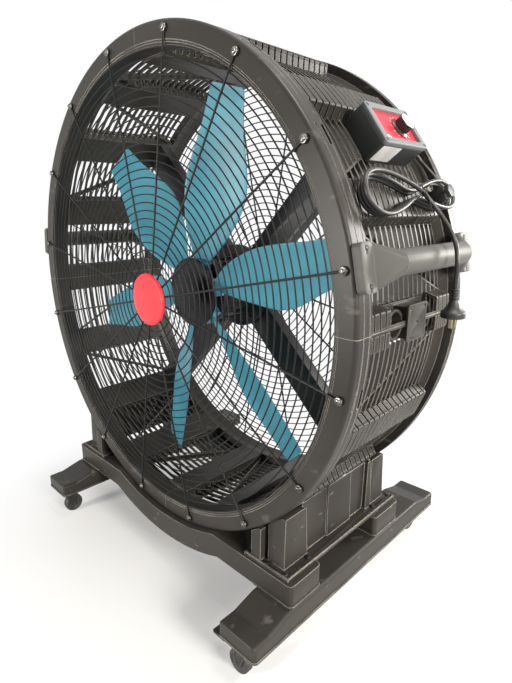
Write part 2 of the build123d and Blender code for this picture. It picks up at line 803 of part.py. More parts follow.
def bezel_screws():
    """Four countersunk screws in the bezel."""
    top = box_face_r - bezel_thickness
    screws = [rod((box_face_r - 2, box_middle_y + y, z), (box_face_r - 0.4, box_middle_y + y, z), 3.4)
              + rod((top - 10, box_middle_y + y, z), (box_face_r - 2, box_middle_y + y, z), 1.5)
              for y, z in bezel_screw_places()]
    return [at_angle(screw, box_angle) for screw in screws]


def control_panel():
    """The sunk panel plate in the bezel's window, with the hole for the knob's shaft."""
    base = box_face_r - bezel_thickness
    gap = 0.2
    plate = block(base, base + panel_thickness, box_middle_y - window_length / 2 + gap,
                  box_middle_y + window_length / 2 - gap, -window_width / 2 + gap,
                  window_width / 2 - gap)
    plate = fillet(plate.edges().filter_by(Axis.X), 6 - gap)
    return plate - rod(knob_at(base - 1), knob_at(base + panel_thickness + 1), knob_shaft_r + 0.5)


def knob_at(x):
    """A point on the knob's axis, in the control box's own frame."""
    return (x, box_middle_y + knob_offset, 0)


def knob_potentiometer():
    """The speed control under the panel, held by its flange against the panel's back."""
    base = box_face_r - bezel_thickness
    body = rod(knob_at(base - 17), knob_at(base), 11)
    return body - rod(knob_at(base - 12), knob_at(base + 1), knob_shaft_r + running_fit)


def speed_knob():
    """The speed knob with its skirt, gripping ribs and shaft."""
    base = box_face_r - bezel_thickness + panel_thickness
    skirt = rod(knob_at(base + seat_gap), knob_at(base + 4), knob_skirt_r)
    grip = rod(knob_at(base + 4), knob_at(base + knob_height), knob_grip_r)
    ribs = []
    middle = Vector(*knob_at(0))
    for k in range(18):
        rib = block(base + 4, base + knob_height - 2, middle.Y + knob_grip_r - 1,
                    middle.Y + knob_grip_r + 0.7, -0.8, 0.8)
        ribs.append(Pos(0, middle.Y, 0) * Rot(20 * k, 0, 0) * Pos(0, -middle.Y, 0) * rib)
    shaft = rod(knob_at(base - 13), knob_at(base + 1), knob_shaft_r)
    pointer = block(base + knob_height - 1.5, base + knob_height + 1, middle.Y - 0.8,
                    middle.Y + 0.8, 1, knob_grip_r - 0.5)
    knob = skirt + grip + shaft + ribs
    return knob - pointer


def cord_gland():
    """The nut and sleeve where the lead leaves the control box."""
    back = box_middle_y + box_length / 2
    nut = rod(gland_at(back), gland_at(back + 6), gland_r + 4)
    sleeve = rod(gland_at(back - box_wall - 4), gland_at(back), gland_r)
    collar = rod(gland_at(back + 6), gland_at(back + gland_length), gland_r)
    return nut + sleeve + collar


def cord_holder():
    """The peg on the drum that the hank hangs by, with a hexagonal head on its outer end."""
    base = block_outer_r + seat_gap
    top = base + holder_height
    half = holder_width / 2
    body = block(base, top, holder_y - half, holder_y + half, -half, half)
    body = fillet(body.edges().filter_by(Axis.X), 3)
    face = Plane((top, holder_y, 0), x_dir=(0, 1, 0), z_dir=(1, 0, 0))
    return body + extrude(face * RegularPolygon(holder_head_r, 6), amount=holder_head_height)


def layer_x(layer):
    """How far out the cord's middle lies in a layer of the hank."""
    return ring_outer_r + cord_d / 2 + cord_rest_gap + layer * layer_step


def hank_points():
    """Pinched loops that widen and climb a layer with each turn, in the hank's own frame."""
    points = []
    for k in range(round(hank_turns * loop_points) + 1):
        turn = k / loop_points
        phase = -2 * pi * turn
        side = 1 if k % loop_points * 4 < loop_points or (
            k % loop_points * 4 > 3 * loop_points) else -1
        reach = (right_reach if side > 0 else left_reach) + turn * reach_growth
        lobe = (right_lobe if side > 0 else left_lobe) + turn * lobe_growth
        y = waist_y + reach * cos(phase)
        up = 1 if sin(phase) > 0 else -1
        z = up * lobe * abs(sin(2 * phase)) + waist_half * sin(phase)
        whole = floor(turn + 0.25)
        climb = min((turn + 0.25 - whole) / 0.125, 1)
        last = max(turn - (hank_turns - 0.125), 0) / 0.125
        points.append((layer_x(whole + climb - 1 + last), y, z))
    return points


def from_hank(points):
    """Points of the hank's own frame, turned to the hank's place round the drum."""
    c, s = cos(radians(hank_angle)), sin(radians(hank_angle))
    return [Vector(x * c - z * s, y, x * s + z * c) for x, y, z in points]


def lead_points():
    """The lead from the gland down behind the box to the hank's first point."""
    exit_y = box_middle_y + box_length / 2 + gland_length
    turn = radians(box_angle - hank_angle)
    x = gland_x * cos(turn) - gland_z * sin(turn)
    z = gland_x * sin(turn) + gland_z * cos(turn)
    first = hank_points()[0]
    return [(x, exit_y, z), (x, exit_y + 19, z), (x + 1, exit_y + 35, z - 21),
            (first[0], first[1] + 3, first[2] + 36), first]


def free_points():
    """The free end from the waist of the hank, over the handle and down to the plug."""
    return [Vector(535, 205, 200.0), Vector(552, 214, 176.0), Vector(573, 211, 150.0),
            Vector(590, 195, 128.8), Vector(596, 190, 101.0), Vector(plug_x, plug_y - 2, 77.0),
            Vector(plug_x, plug_y, plug_top_z)]


def cord_tube(points, name):
    """A round tube along straight runs joined by tangent arcs; prints its smallest radius."""
    radii = []
    for before, here, after in zip(points, points[1:], points[2:]):
        arriving, leaving = here - before, after - here
        half_turn = radians(arriving.get_angle(leaving)) / 2
        radii.append(0.45 * min(arriving.length, leaving.length) / tan(half_turn))
    path = FilletPolyline(*points, radius=radii)
    tube = sweep(Plane(origin=path @ 0, z_dir=path % 0) * Circle(cord_d / 2), path=path)
    wanted = pi * cord_d ** 2 / 4 * path.length
    print(name, "length", round(path.length), "radii", round(min(radii), 1), "to",
          round(max(radii)), "volume against section times length",
          round(tube.volume / wanted, 4))
    return tube, path


def hank_gap(path):
    """The least gap between parts of the hank, on points, leaving out near neighbours."""
    count = 900
    step = path.length / count
    points = [path @ (k / count) for k in range(count + 1)]
    apart = int(4 * cord_d / step) + 1
    nearest = min((points[i] - points[j]).length for i in range(count)
                  for j in range(i + apart, count + 1))
    return nearest - cord_d


def cord_pieces():
    """The lead and free end in one node, the hank, its tie and the plug."""
    lead = from_hank(lead_points())
    loops = from_hank(hank_points())
    free = free_points()
    first_run = loops[0] - lead[-2]
    start = loops[0] - first_run * 0.5
    last_run = free[0] - loops[-1]
    end = loops[-1] + last_run.normalized() * 2.5 * cord_d
    lead_tube = cord_tube(lead[:-1] + [start], "lead")[0]
    hank, path = cord_tube([start] + loops + [end], "hank")
    free_tube = cord_tube([end] + free, "free end")[0]
    print("hank's least gap to itself", round(hank_gap(path), 2))
    return {"power_cord": Compound([lead_tube, free_tube]), "cord_hank": hank,
            "cord_tie": at_angle(cord_tie(), hank_angle), "mains_plug": mains_plug()}


def cord_tie():
    """The flat wire tie round the waist of the hank."""
    x0, x1 = layer_x(0) - cord_d / 2, layer_x(3) + cord_d / 2
    half = waist_half + 1.6 * cord_d
    outer = block(x0 - 0.6, x1 + 3, waist_y - 2, waist_y + 2, -half - 1.2, half + 1.2)
    return outer - block(x0 - 0.1, x1 + 1.8, waist_y - 3, waist_y + 3, -half, half)


def mains_plug():
    """The plug that hangs from the free end: ribbed relief, flared body, rim and flat pins."""
    top = plug_top_z
    half = plug_width / 2
    parts = [rod((plug_x, plug_y, top - 18), (plug_x, plug_y, top), cord_d / 2 + 1.2)]
    parts += [rod((plug_x, plug_y, top - 5 - 5 * k), (plug_x, plug_y, top - 2 - 5 * k),
                  cord_d / 2 + 2.4) for k in range(3)]
    cone = Pos(plug_x, plug_y, top - 18 - 10) * Cone(half - 4, cord_d / 2 + 2, 20)
    rim = Pos(plug_x, plug_y, top - 18 - 20 - 6) * Cylinder(half, 12)
    parts += [cone, fillet(rim.edges().filter_by(GeomType.CIRCLE), 2)]
    base = top - 18 - 20 - 12
    for side in (-1, 1):
        y = plug_y + side * 6.5
        parts.append(block(plug_x - 3.2, plug_x + 3.2, y - 0.9, y + 0.9, base - 17, base + 2))
    return parts[0] + parts[1:]


def foot_beam():
    """A hollow foot beam on the +X side, with lowered toes, open underneath."""
    toe_z = foot_bottom_z + foot_toe_height
    top_z = beam_top_z - beam_height
    slope = foot_toe_length + foot_slope_length
    side = [(foot_front_y, foot_bottom_z), (foot_front_y, toe_z, 4),
            (foot_front_y + foot_toe_length, toe_z, 20), (foot_front_y + slope, top_z, 20),
            (foot_rear_y - slope, top_z, 20), (foot_rear_y - foot_toe_length, toe_z, 20),
            (foot_rear_y, toe_z, 4), (foot_rear_y, foot_bottom_z)]
    profile = Plane((foot_inner_x, 0, 0), x_dir=(0, 1, 0), z_dir=(1, 0, 0)) * outline(side)
    beam = extrude(profile, amount=foot_outer_x - foot_inner_x, dir=(1, 0, 0))
    beam = fillet(beam.edges().filter_by(Axis.Z), 8)
    hollow = block(foot_inner_x + foot_wall, foot_outer_x - foot_wall, caster_front_y + 60,
                   caster_rear_y - 60, foot_bottom_z - 1, top_z - foot_wall)
    pins = [rod((caster_x, y, foot_bottom_z - 1), (caster_x, y, foot_bottom_z + 14),
                kingpin_r + 3) for y in (caster_front_y, caster_rear_y)]
    holes = [rod((x, y, foot_bottom_z - 1), (x, y, foot_bottom_z + 14), screw_bore_r)
             for x, y in caster_plate_holes()]
    return beam - hollow - pins - holes


def caster_plate_holes():
    """The screw places of the two caster plates under the right foot beam."""
    return [(caster_x + dx, y + dy) for y in (caster_front_y, caster_rear_y)
            for dx in (-caster_screw_x, caster_screw_x)
            for dy in (-caster_screw_y, caster_screw_y)]


def cross_beam(y0, y1):
    """A cross beam whose middle dips to cradle the drum."""
    cradle_r = ring_outer_r + seat_gap
    edge_x = sqrt(cradle_r ** 2 - beam_top_z ** 2)
    low_z = beam_top_z - beam_height
    x1 = cross_half_length
    shape = Wire([Line((-x1, beam_top_z), (-edge_x, beam_top_z)),
                  ThreePointArc((-edge_x, beam_top_z), (0, -cradle_r), (edge_x, beam_top_z)),
                  Line((edge_x, beam_top_z), (x1, beam_top_z)),
                  Line((x1, beam_top_z), (x1, low_z)),
                  Line((x1, low_z), (cradle_flat_x, low_z)),
                  ThreePointArc((cradle_flat_x, low_z), (0, -cradle_bottom_r),
                                (-cradle_flat_x, low_z)),
                  Line((-cradle_flat_x, low_z), (-x1, low_z)),
                  Line((-x1, low_z), (-x1, beam_top_z))])
    beam = along_axis(Face(shape), y0, y1)
    beam = fillet(beam.edges().filter_by(Axis.Z), 10)
    holes = [rod((sign * x, y, beam_top_z - 22), (sign * x, y, beam_top_z + 1), screw_bore_r)
             for sign in (-1, 1) for x, y in bracket_screw_places() if y0 < y < y1]
    return beam - holes


def bracket_screw_places():
    """The screws through the right bracket's foot plates."""
    front, rear = front_cross_y[0] + 14, rear_cross_y[1] - 6
    outer = bracket_screw_x[-1]
    places = [(x, y) for y in (front, rear) for x in bracket_screw_x]
    return places + [(outer, front + 70), (outer, rear - 68)]


def support_bracket():
    """The right-hand bracket: foot plates, pillars and a panelled wall under the drum."""
    base = beam_top_z
    top = base + bracket_plate_thickness
    inner, outer = bracket_inner_x, bracket_outer_x
    front_y, rear_y = front_cross_y[0] + 6, rear_cross_y[1] + 2
    pad_end, pad_start = front_cross_y[1] - 2, rear_cross_y[0] + 27
    plate = [block(inner, outer, front_y, pad_end, base, top),
             block(inner, outer, pad_start, rear_y, base, top),
             block(outer - bracket_link_width, outer, pad_end - 1, pad_start + 1, base, top)]

    def pillar(across, y_low, y_high, lean, z_top):
        side = outline([(y_low, top - 1), (y_low + lean, z_top, 3), (y_high - lean, z_top, 3),
                        (y_high, top - 1)])
        face = Plane((across[0], 0, 0), x_dir=(0, 1, 0), z_dir=(1, 0, 0)) * side
        return extrude(face, amount=across[1] - across[0], dir=(1, 0, 0))

    wall_face = panel_wall_x[1] - 2
    raised_panel, rib = (wall_face, wall_face + 6), (wall_face, wall_face + 12)
    # the big pillars start behind the screws at the bracket's two ends
    screw_clear = 8 + screw_head_r + 2
    parts = [pillar(outer_pillar_x, front_y + screw_clear, pad_end + 2, 5, front_pillar_top_z),
             pillar(inner_pillar_x, front_y + 4, pad_end - 18, 3, inner_pillar_top_z),
             pillar(outer_pillar_x, pad_start + 2, rear_y - screw_clear - 1, 6,
                    rear_pillar_top_z),
             pillar(inner_pillar_x, pad_start + 20, rear_y - 6, 3, inner_pillar_top_z),
             pillar(panel_wall_x, pad_end - 8, pad_start + 8, 0, panel_wall_top_z),
             pillar(raised_panel, middle_y - 33.5, middle_y + 53.5, 2, panel_wall_top_z + 3),
             pillar(rib, pad_start - 19, pad_start + 4, 6, panel_wall_top_z)]
    body = plate[0] + plate[1:] + parts
    body -= rod((0, front_y - 20, 0), (0, rear_y + 20, 0), ring_outer_r + seat_gap)
    return body - [rod((x, y, base - 1), (x, y, top + 1), bracket_bore_r) for x, y in bracket_screw_places()]


def bracket_screws():
    """The screws that hold both brackets to the cross beams."""
    top = beam_top_z + bracket_plate_thickness
    screws = []
    for sign in (-1, 1):
        for x, y in bracket_screw_places():
            screws.append(rod((sign * x, y, top), (sign * x, y, top + 3.5), screw_head_r)
                          + rod((sign * x, y, beam_top_z - 18), (sign * x, y, top), 2.5))
    return screws


def caster_plates():
    """The four caster plates with their screws, under the foot beams."""
    bottom = foot_bottom_z - caster_plate_thickness
    plates = []
    for sign in (-1, 1):
        for y in (caster_front_y, caster_rear_y):
            plate = block(sign * caster_x - 31, sign * caster_x + 31, y - 25, y + 25,
                          bottom, foot_bottom_z)
            plate = fillet(plate.edges().filter_by(Axis.Z), 6)
            plate -= rod((sign * caster_x, y, bottom - 1), (sign * caster_x, y, foot_bottom_z + 1),
                         kingpin_r + running_fit)
            for dx in (-caster_screw_x, caster_screw_x):
                for dy in (-caster_screw_y, caster_screw_y):
                    x = sign * caster_x + dx
                    plate += rod((x, y + dy, bottom - 2.5), (x, y + dy, bottom), 4.5)
                    plate += rod((x, y + dy, bottom), (x, y + dy, foot_bottom_z + 12), 2.5)
            plates.append(plate)
    return Compound(plates)


def caster_fork():
    """The fork with its kingpin and axle; the kingpin's axis is at zero, the trail towards -X."""
    plate_z = foot_bottom_z - caster_plate_thickness
    wheel_z = -axis_height + wheel_r
    crown_top = plate_z - 3
    crown_bottom = crown_top - 5
    fork = rod((0, 0, crown_bottom), (0, 0, crown_top), 19)
    fork += rod((0, 0, crown_top - 1), (0, 0, plate_z - seat_gap), 12)
    fork += rod((0, 0, crown_top - 1), (0, 0, foot_bottom_z + 4), kingpin_r)
    inner = wheel_width / 2 + 1.5
    for side in (-1, 1):
        leg = outline([(-21, crown_bottom + 1), (14, crown_bottom + 1),
                       (-caster_trail + 8, wheel_z - 5, 4), (-caster_trail - 8, wheel_z - 5, 4)])
        y0 = inner if side > 0 else -inner - 3.5
        fork += along_axis(leg, y0, y0 + 3.5)
    axle_half = inner + 3.5 + 2
    fork += rod((-caster_trail, -axle_half, wheel_z), (-caster_trail, axle_half, wheel_z), axle_r)
    pedal = pedal_pivot()
    return fork - rod((pedal[0], -axle_half, pedal[1]), (pedal[0], axle_half, pedal[1]),
                      2.5 + running_fit)


def pedal_pivot():
    """Where the brake pedal's pin crosses the fork, as x and z from the kingpin's axis."""
    return (-13.0, foot_bottom_z - caster_plate_thickness - 14.5)


def caster_wheel():
    """The wheel with its rounded tread and bored hub."""
    half = wheel_width / 2
    wheel = Rot(90, 0, 0) * Cylinder(wheel_r, wheel_width)
    wheel = fillet(wheel.edges().filter_by(GeomType.CIRCLE), 4)
    for side in (-1, 1):
        dish = rod((0, side * (half - 2), 0), (0, side * (half + 1), 0), wheel_r - 8)
        wheel -= dish
        wheel += rod((0, side * (half - 3), 0), (0, side * (half + 1), 0), 8)
    wheel -= rod((0, -wheel_width, 0), (0, wheel_width, 0), axle_r + running_fit)
    return Pos(-caster_trail, 0, -axis_height + wheel_r) * wheel


def brake_pedal():
    """The foot pedal on its pin between the fork's legs, above the wheel."""
    x, z = pedal_pivot()
    pin_half = wheel_width / 2 + 5
    pedal = rod((x, -pin_half, z), (x, pin_half, z), 2.5)
    pedal += block(x - 30, x, -9, 9, z - 2, z + 1.5)
    pad = block(x - 66, x - 28, -18, 18, z - 2, z + 1.5)
    return pedal + fillet(pad.edges().filter_by(Axis.Z), 5)


def caster_places():
    """Name, kingpin x and y, and the turn of each caster at rest."""
    return [("front_right", caster_x, caster_front_y, 0), ("front_left", -caster_x,
             caster_front_y, -90), ("rear_right", caster_x, caster_rear_y, 90),
            ("rear_left", -caster_x, caster_rear_y, 90)]


def mirrored(shape):
    """The same piece on the other side of the fan."""
    return mirror(shape, Plane.YZ)


def all_pieces():
    """Every piece by its node name, about the drum axis."""
    pieces = {}
    quarter = drum_quarter()
    holes = fixing_holes()
    for k in range(4):
        segment = at_angle(quarter, 90 * k)
        segment -= holes + [at_angle(side_recess(), angle) for angle in (0, 180)]
        pieces[f"drum_segment_{k + 1}"] = segment
    pieces["front_guard"] = guard(-guard_thickness, 0)
    pieces["rear_guard"] = guard(drum_depth, drum_depth + guard_thickness)
    pieces["centre_badge"] = centre_badge()
    pieces["guard_screws"] = Compound(guard_screws(-guard_thickness, 1)
                                      + guard_screws(drum_depth + guard_thickness, -1))
    pieces["rotor_hub"] = rotor_hub()
    pieces["hub_cap"] = hub_cap()
    one_blade = blade()
    for k, angle in enumerate(blade_angles()):
        pieces[f"fan_blade_{k + 1}"] = at_angle(one_blade, angle)
    pieces["blade_screws"] = blade_screws()
    pieces["motor_shaft"] = motor_shaft()
    pieces["motor_stator"] = motor_stator()
    pieces["motor_housing"] = motor_housing()
    pieces["motor_end_bell"] = motor_end_bell()
    pieces["motor_bearings"] = motor_bearings()
    for k, angle in enumerate(arm_angles):
        pieces[f"motor_arm_{k + 1}"] = motor_arm(angle)
    for side, angle in zip(("right", "left"), handle_angles):
        pieces[f"handle_{side}"] = at_angle(handle(), angle)
    pieces["side_mount_right"] = side_mount()
    pieces["side_mount_left"] = at_angle(side_mount(), 180)
    pieces["side_rails"] = side_rails()
    for name, piece in (("control_box", control_box()), ("control_bezel", control_bezel()),
                        ("control_panel", control_panel()),
                        ("knob_potentiometer", knob_potentiometer()),
                        ("speed_knob", speed_knob()),
                        ("cord_gland", cord_gland())):
        pieces[name] = at_angle(piece, box_angle)
    pieces["cross_beam_front"] = cross_beam(*front_cross_y)
    pieces["cross_beam_rear"] = cross_beam(*rear_cross_y)
    pieces["foot_beam_right"] = foot_beam()
    pieces["foot_beam_left"] = mirrored(foot_beam())
    pieces["support_bracket_right"] = support_bracket()
    pieces["support_bracket_left"] = mirrored(support_bracket())
    pieces["frame_screws"] = Compound(arm_screws() + handle_screws() + bezel_screws()
                                      + bracket_screws())
    pieces["cord_holder"] = at_angle(cord_holder(), hank_angle)
    pieces.update(cord_pieces())
    pieces["caster_plates"] = caster_plates()
    for name, x, y, turn in caster_places():
        place = Pos(x, y, 0) * Rot(0, 0, turn)
        pieces[f"caster_fork_{name}"] = place * caster_fork()
        pieces[f"caster_wheel_{name}"] = place * caster_wheel()
        if name.startswith("front"):
            pieces[f"brake_pedal_{name}"] = place * brake_pedal()
    return pieces


os.makedirs("parts", exist_ok=True)
to_floor = Pos(0, -(foot_front_y + foot_rear_y) / 2, axis_height)
for node, shape in all_pieces().items():
    export_step(to_floor * shape, f"parts/{node}.step")
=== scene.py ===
import json
import bpy
import bmesh
import numpy as np
from math import atan2, cos, pi, radians, sin
from mathutils import Matrix, Vector


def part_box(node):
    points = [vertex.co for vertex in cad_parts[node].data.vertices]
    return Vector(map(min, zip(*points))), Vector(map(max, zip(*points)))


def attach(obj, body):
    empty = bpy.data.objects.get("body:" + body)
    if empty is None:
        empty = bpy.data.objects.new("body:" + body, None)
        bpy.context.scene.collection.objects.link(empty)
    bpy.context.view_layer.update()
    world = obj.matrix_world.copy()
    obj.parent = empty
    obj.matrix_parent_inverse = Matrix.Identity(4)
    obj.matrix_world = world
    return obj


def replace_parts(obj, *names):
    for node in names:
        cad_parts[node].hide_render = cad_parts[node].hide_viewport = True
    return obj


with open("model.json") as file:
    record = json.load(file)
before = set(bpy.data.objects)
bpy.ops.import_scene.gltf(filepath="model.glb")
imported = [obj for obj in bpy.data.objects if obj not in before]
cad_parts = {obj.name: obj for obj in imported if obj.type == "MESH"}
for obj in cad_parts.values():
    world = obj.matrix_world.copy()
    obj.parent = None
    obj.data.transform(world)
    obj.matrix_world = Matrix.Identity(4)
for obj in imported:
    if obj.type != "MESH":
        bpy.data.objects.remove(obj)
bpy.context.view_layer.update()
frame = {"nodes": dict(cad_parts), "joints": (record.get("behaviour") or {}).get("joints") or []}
nodes = frame["nodes"]
joints = {joint["name"]: joint for joint in frame["joints"]}

# the drum's axis runs along Y; places on it are given in millimetres behind the front face
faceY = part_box("drum_segment_1")[0][1]
axisZ = joints["fan_spin"]["pos_m"][2]
mm = 0.001
print("frame loaded")


# shape helpers

def gridFaces(rows, columns, closeRows=False, closeColumns=False):
    # quads between neighbouring points of a grid, wrapping round where it is closed
    r = np.arange(rows if closeRows else rows - 1)
    c = np.arange(columns if closeColumns else columns - 1)
    a, b = np.meshgrid(r, c, indexing="ij")
    nextA, nextB = (a + 1) % rows, (b + 1) % columns
    quads = np.stack([a * columns + b, a * columns + nextB,
                      nextA * columns + nextB, nextA * columns + b], -1)
    return quads.reshape(-1, 4)


def onDrum(points):
    # millimetres about the drum's front centre to metres in the frame
    return np.asarray(points, float) * mm + np.array([0, faceY, axisZ])


def turned(points, angle):
    # turns points round the drum's axis from +X towards +Z; points are in millimetres
    a = radians(angle)
    x, y, z = points[..., 0], points[..., 1], points[..., 2]
    return np.stack([x * cos(a) - z * sin(a), y, x * sin(a) + z * cos(a)], -1)


def spun(points, angle, axis="X"):
    # turns points about an axis through the origin
    return points @ np.array(Matrix.Rotation(radians(angle), 3, axis)).T


def lathe(profile, sides, axis="Y"):
    # radius and height pairs carried round an axis: (r cos t, h, r sin t)
    profile = np.asarray(profile, float)
    t = np.linspace(0, 2 * pi, sides, endpoint=False)
    r, h = profile[:, 0][:, None], profile[:, 1][:, None]
    ring = [r * np.cos(t), h + 0 * t, r * np.sin(t)]
    if axis == "Z":
        ring = [ring[0], ring[2], ring[1]]
    if axis == "X":
        ring = [ring[1], ring[0], ring[2]]
    points = np.stack(ring, -1)
    return points.reshape(-1, 3), gridFaces(len(profile), sides, closeColumns=True)


def tube(path, radius, sides, reference, closed=False):
    # circles square to a path: path + radius (cos t * side + sin t * up)
    path = np.asarray(path, float)
    if closed:
        along = np.roll(path, -1, 0) - np.roll(path, 1, 0)
    else:
        along = np.gradient(path, axis=0)
    along /= np.linalg.norm(along, axis=1)[:, None]
    side = np.cross(along, np.asarray(reference, float))
    side /= np.linalg.norm(side, axis=1)[:, None]
    up = np.cross(side, along)
    t = np.linspace(0, 2 * pi, sides, endpoint=False)
    radii = np.broadcast_to(np.asarray(radius, float), (len(path),))[:, None, None]
    points = path[:, None] + radii * (np.cos(t)[None, :, None] * side[:, None]
                                      + np.sin(t)[None, :, None] * up[:, None])
    faces = gridFaces(len(path), sides, closeRows=closed, closeColumns=True)
    return points.reshape(-1, 3), faces


def slab(low, high):
    # the eight corners and six sides of a box
    x, y, z = np.meshgrid(*[np.array([a, b], float) for a, b in zip(low, high)], indexing="ij")
    points = np.stack([x, y, z], -1).reshape(-1, 3)
    faces = np.array([[0, 1, 3, 2], [4, 6, 7, 5], [0, 4, 5, 1], [2, 3, 7, 6], [0, 2, 6, 4],
                      [1, 5, 7, 3]])
    return points, faces


def newObject(name, data):
    made = bpy.data.objects.new(name, data)
    bpy.context.scene.collection.objects.link(made)
    return made


def makePiece(name, parts, material, body="frame", sharp=35, ends=()):
    # one mesh out of several point and face arrays; ends lists rings to close with one face
    allPoints, allFaces, offset = [], [], 0
    for points, faces in parts:
        allPoints.append(np.asarray(points, float))
        allFaces += (np.asarray(faces) + offset).tolist()
        offset += len(points)
    allFaces += [list(ring) for ring in ends]
    mesh = bpy.data.meshes.new(name)
    mesh.from_pydata(np.concatenate(allPoints).tolist(), [], allFaces)
    return finishMesh(name, mesh, material, body, sharp)


def finishMesh(name, mesh, material, body, sharp):
    # welds, points the faces outwards, smooths all but sharp edges, and rides on the body
    work = bmesh.new()
    work.from_mesh(mesh)
    bmesh.ops.remove_doubles(work, verts=work.verts, dist=1e-6)
    bmesh.ops.recalc_face_normals(work, faces=work.faces)
    work.to_mesh(mesh)
    work.free()
    mesh.polygons.foreach_set("use_smooth", [True] * len(mesh.polygons))
    mesh.set_sharp_from_angle(angle=radians(sharp))
    piece = newObject(name, mesh)
    mesh.materials.append(material)
    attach(piece, body)
    return piece


softening = {"weld": 2e-6, "flatAngle": 1.0, "edgeAngle": 30}


def softened(node, width, material, body="frame", segments=2, weighted=False):
    # a welded copy of a CAD solid with its edges rounded; weighted keeps big faces flat
    mesh = nodes[node].data.copy()
    mesh.materials.clear()
    work = bmesh.new()
    work.from_mesh(mesh)
    bmesh.ops.remove_doubles(work, verts=work.verts, dist=softening["weld"])
    bmesh.ops.dissolve_limit(work, angle_limit=radians(softening["flatAngle"]), verts=work.verts,
                             edges=work.edges)
    work.to_mesh(mesh)
    work.free()
    piece = finishMesh(node + "Soft", mesh, material, body, sharp=180)
    bevel = piece.modifiers.new("roundEdges", "BEVEL")
    bevel.width = width * mm
    bevel.segments = segments
    bevel.limit_method = "ANGLE"
    bevel.angle_limit = radians(softening["edgeAngle"])
    bevel.harden_normals = not weighted
    bevel.use_clamp_overlap = True
    if weighted:
        piece.modifiers.new("flatFaces", "WEIGHTED_NORMAL").weight = 100
    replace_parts(piece, node)
    return piece


# materials

def newGroup(name, inputs, outputs):
    group = bpy.data.node_groups.new(name, "ShaderNodeTree")
    for label, kind, value in inputs:
        socket = group.interface.new_socket(label, in_out="INPUT", socket_type=kind)
        socket.default_value = value
    for label, kind in outputs:
        group.interface.new_socket(label, in_out="OUTPUT", socket_type=kind)
    return group, group.nodes.new("NodeGroupInput"), group.nodes.new("NodeGroupOutput")


def mathNode(tree, operation, a, b=None):
    node = tree.nodes.new("ShaderNodeMath")
    node.operation = operation
    for socket, value in zip(node.inputs, (a, b)):
        if value is None:
            continue
        if isinstance(value, (int, float)):
            socket.default_value = value
        else:
            tree.links.new(value, socket)
    return node.outputs[0]


def mixNode(tree, factor, a, b):
    node = tree.nodes.new("ShaderNodeMix")
    node.data_type = "RGBA"
    for socket, value in zip((node.inputs[0], node.inputs[6], node.inputs[7]), (factor, a, b)):
        if isinstance(value, (int, float)):
            socket.default_value = value
        elif isinstance(value, tuple):
            socket.default_value = (*value, 1)
        else:
            tree.links.new(value, socket)
    return node.outputs[2]


def rampNode(tree, value, low, high):
    node = tree.nodes.new("ShaderNodeMapRange")
    node.interpolation_type = "SMOOTHSTEP"
    tree.links.new(value, node.inputs[0])
    node.inputs[1].default_value = low
    node.inputs[2].default_value = high
    return node.outputs[0]


def edgeWearAndHighlightGroup():
    # pale edges, partly rubbed wear and partly a painted highlight where rounded edges catch the light:
    # where a rounded normal leaves the true one, broken up by noise
    group, source, out = newGroup(
        "edgeWearAndHighlight", [("Radius", "NodeSocketFloat", 0.002), ("Break", "NodeSocketFloat", 30.0)],
        [("Mask", "NodeSocketFloat"), ("Normal", "NodeSocketVector")])
    bevel = group.nodes.new("ShaderNodeBevel")
    bevel.samples = 4
    group.links.new(source.outputs["Radius"], bevel.inputs["Radius"])
    geometry = group.nodes.new("ShaderNodeNewGeometry")
    dot = group.nodes.new("ShaderNodeVectorMath")
    dot.operation = "DOT_PRODUCT"
    group.links.new(bevel.outputs[0], dot.inputs[0])
    group.links.new(geometry.outputs["Normal"], dot.inputs[1])
    edge = rampNode(group, mathNode(group, "SUBTRACT", 1.0, dot.outputs["Value"]), 0.02, 0.22)
    place = group.nodes.new("ShaderNodeTexCoord")
    noise = group.nodes.new("ShaderNodeTexNoise")
    group.links.new(place.outputs["Object"], noise.inputs["Vector"])
    group.links.new(source.outputs["Break"], noise.inputs["Scale"])
    noise.inputs["Detail"].default_value = 4
    broken = rampNode(group, noise.outputs[0], 0.25, 0.62)
    group.links.new(mathNode(group, "MULTIPLY", edge, broken), out.inputs["Mask"])
    group.links.new(bevel.outputs[0], out.inputs["Normal"])
    return group


def grainGroup():
    # fine moulded grain as a height, with broad soft blotches and small pale scuffs
    scales = (("Grain", 1100.0), ("Blotch", 5.0), ("Scuff", 22.0))
    group, source, out = newGroup(
        "mouldedGrain", [(label, "NodeSocketFloat", value) for label, value in scales],
        [(label, "NodeSocketFloat") for label in ("Height", "Blotches", "Scuffs")])
    place = group.nodes.new("ShaderNodeTexCoord")

    def noise(scale, detail, stretch=None):
        node = group.nodes.new("ShaderNodeTexNoise")
        node.inputs["Detail"].default_value = detail
        group.links.new(source.outputs[scale], node.inputs["Scale"])
        if stretch:
            mapping = group.nodes.new("ShaderNodeMapping")
            mapping.inputs["Scale"].default_value = stretch
            group.links.new(place.outputs["Object"], mapping.inputs["Vector"])
            group.links.new(mapping.outputs[0], node.inputs["Vector"])
        else:
            group.links.new(place.outputs["Object"], node.inputs["Vector"])
        return node.outputs[0]

    group.links.new(noise("Grain", 2), out.inputs["Height"])
    group.links.new(rampNode(group, noise("Blotch", 5), 0.32, 0.7), out.inputs["Blotches"])
    scuffs = rampNode(group, noise("Scuff", 8, (1, 1, 2.4)), 0.64, 0.74)
    group.links.new(scuffs, out.inputs["Scuffs"])
    return group


edgeWearAndHighlight = edgeWearAndHighlightGroup()
mouldedGrain = grainGroup()


def placed(tree, group, **values):
    node = tree.nodes.new("ShaderNodeGroup")
    node.node_tree = group
    for label, value in values.items():
        node.inputs[label].default_value = value
    return node


def newMaterial(name):
    material = bpy.data.materials.new(name)
    material.use_nodes = True
    shader = material.node_tree.nodes["Principled BSDF"]
    return material, material.node_tree, shader


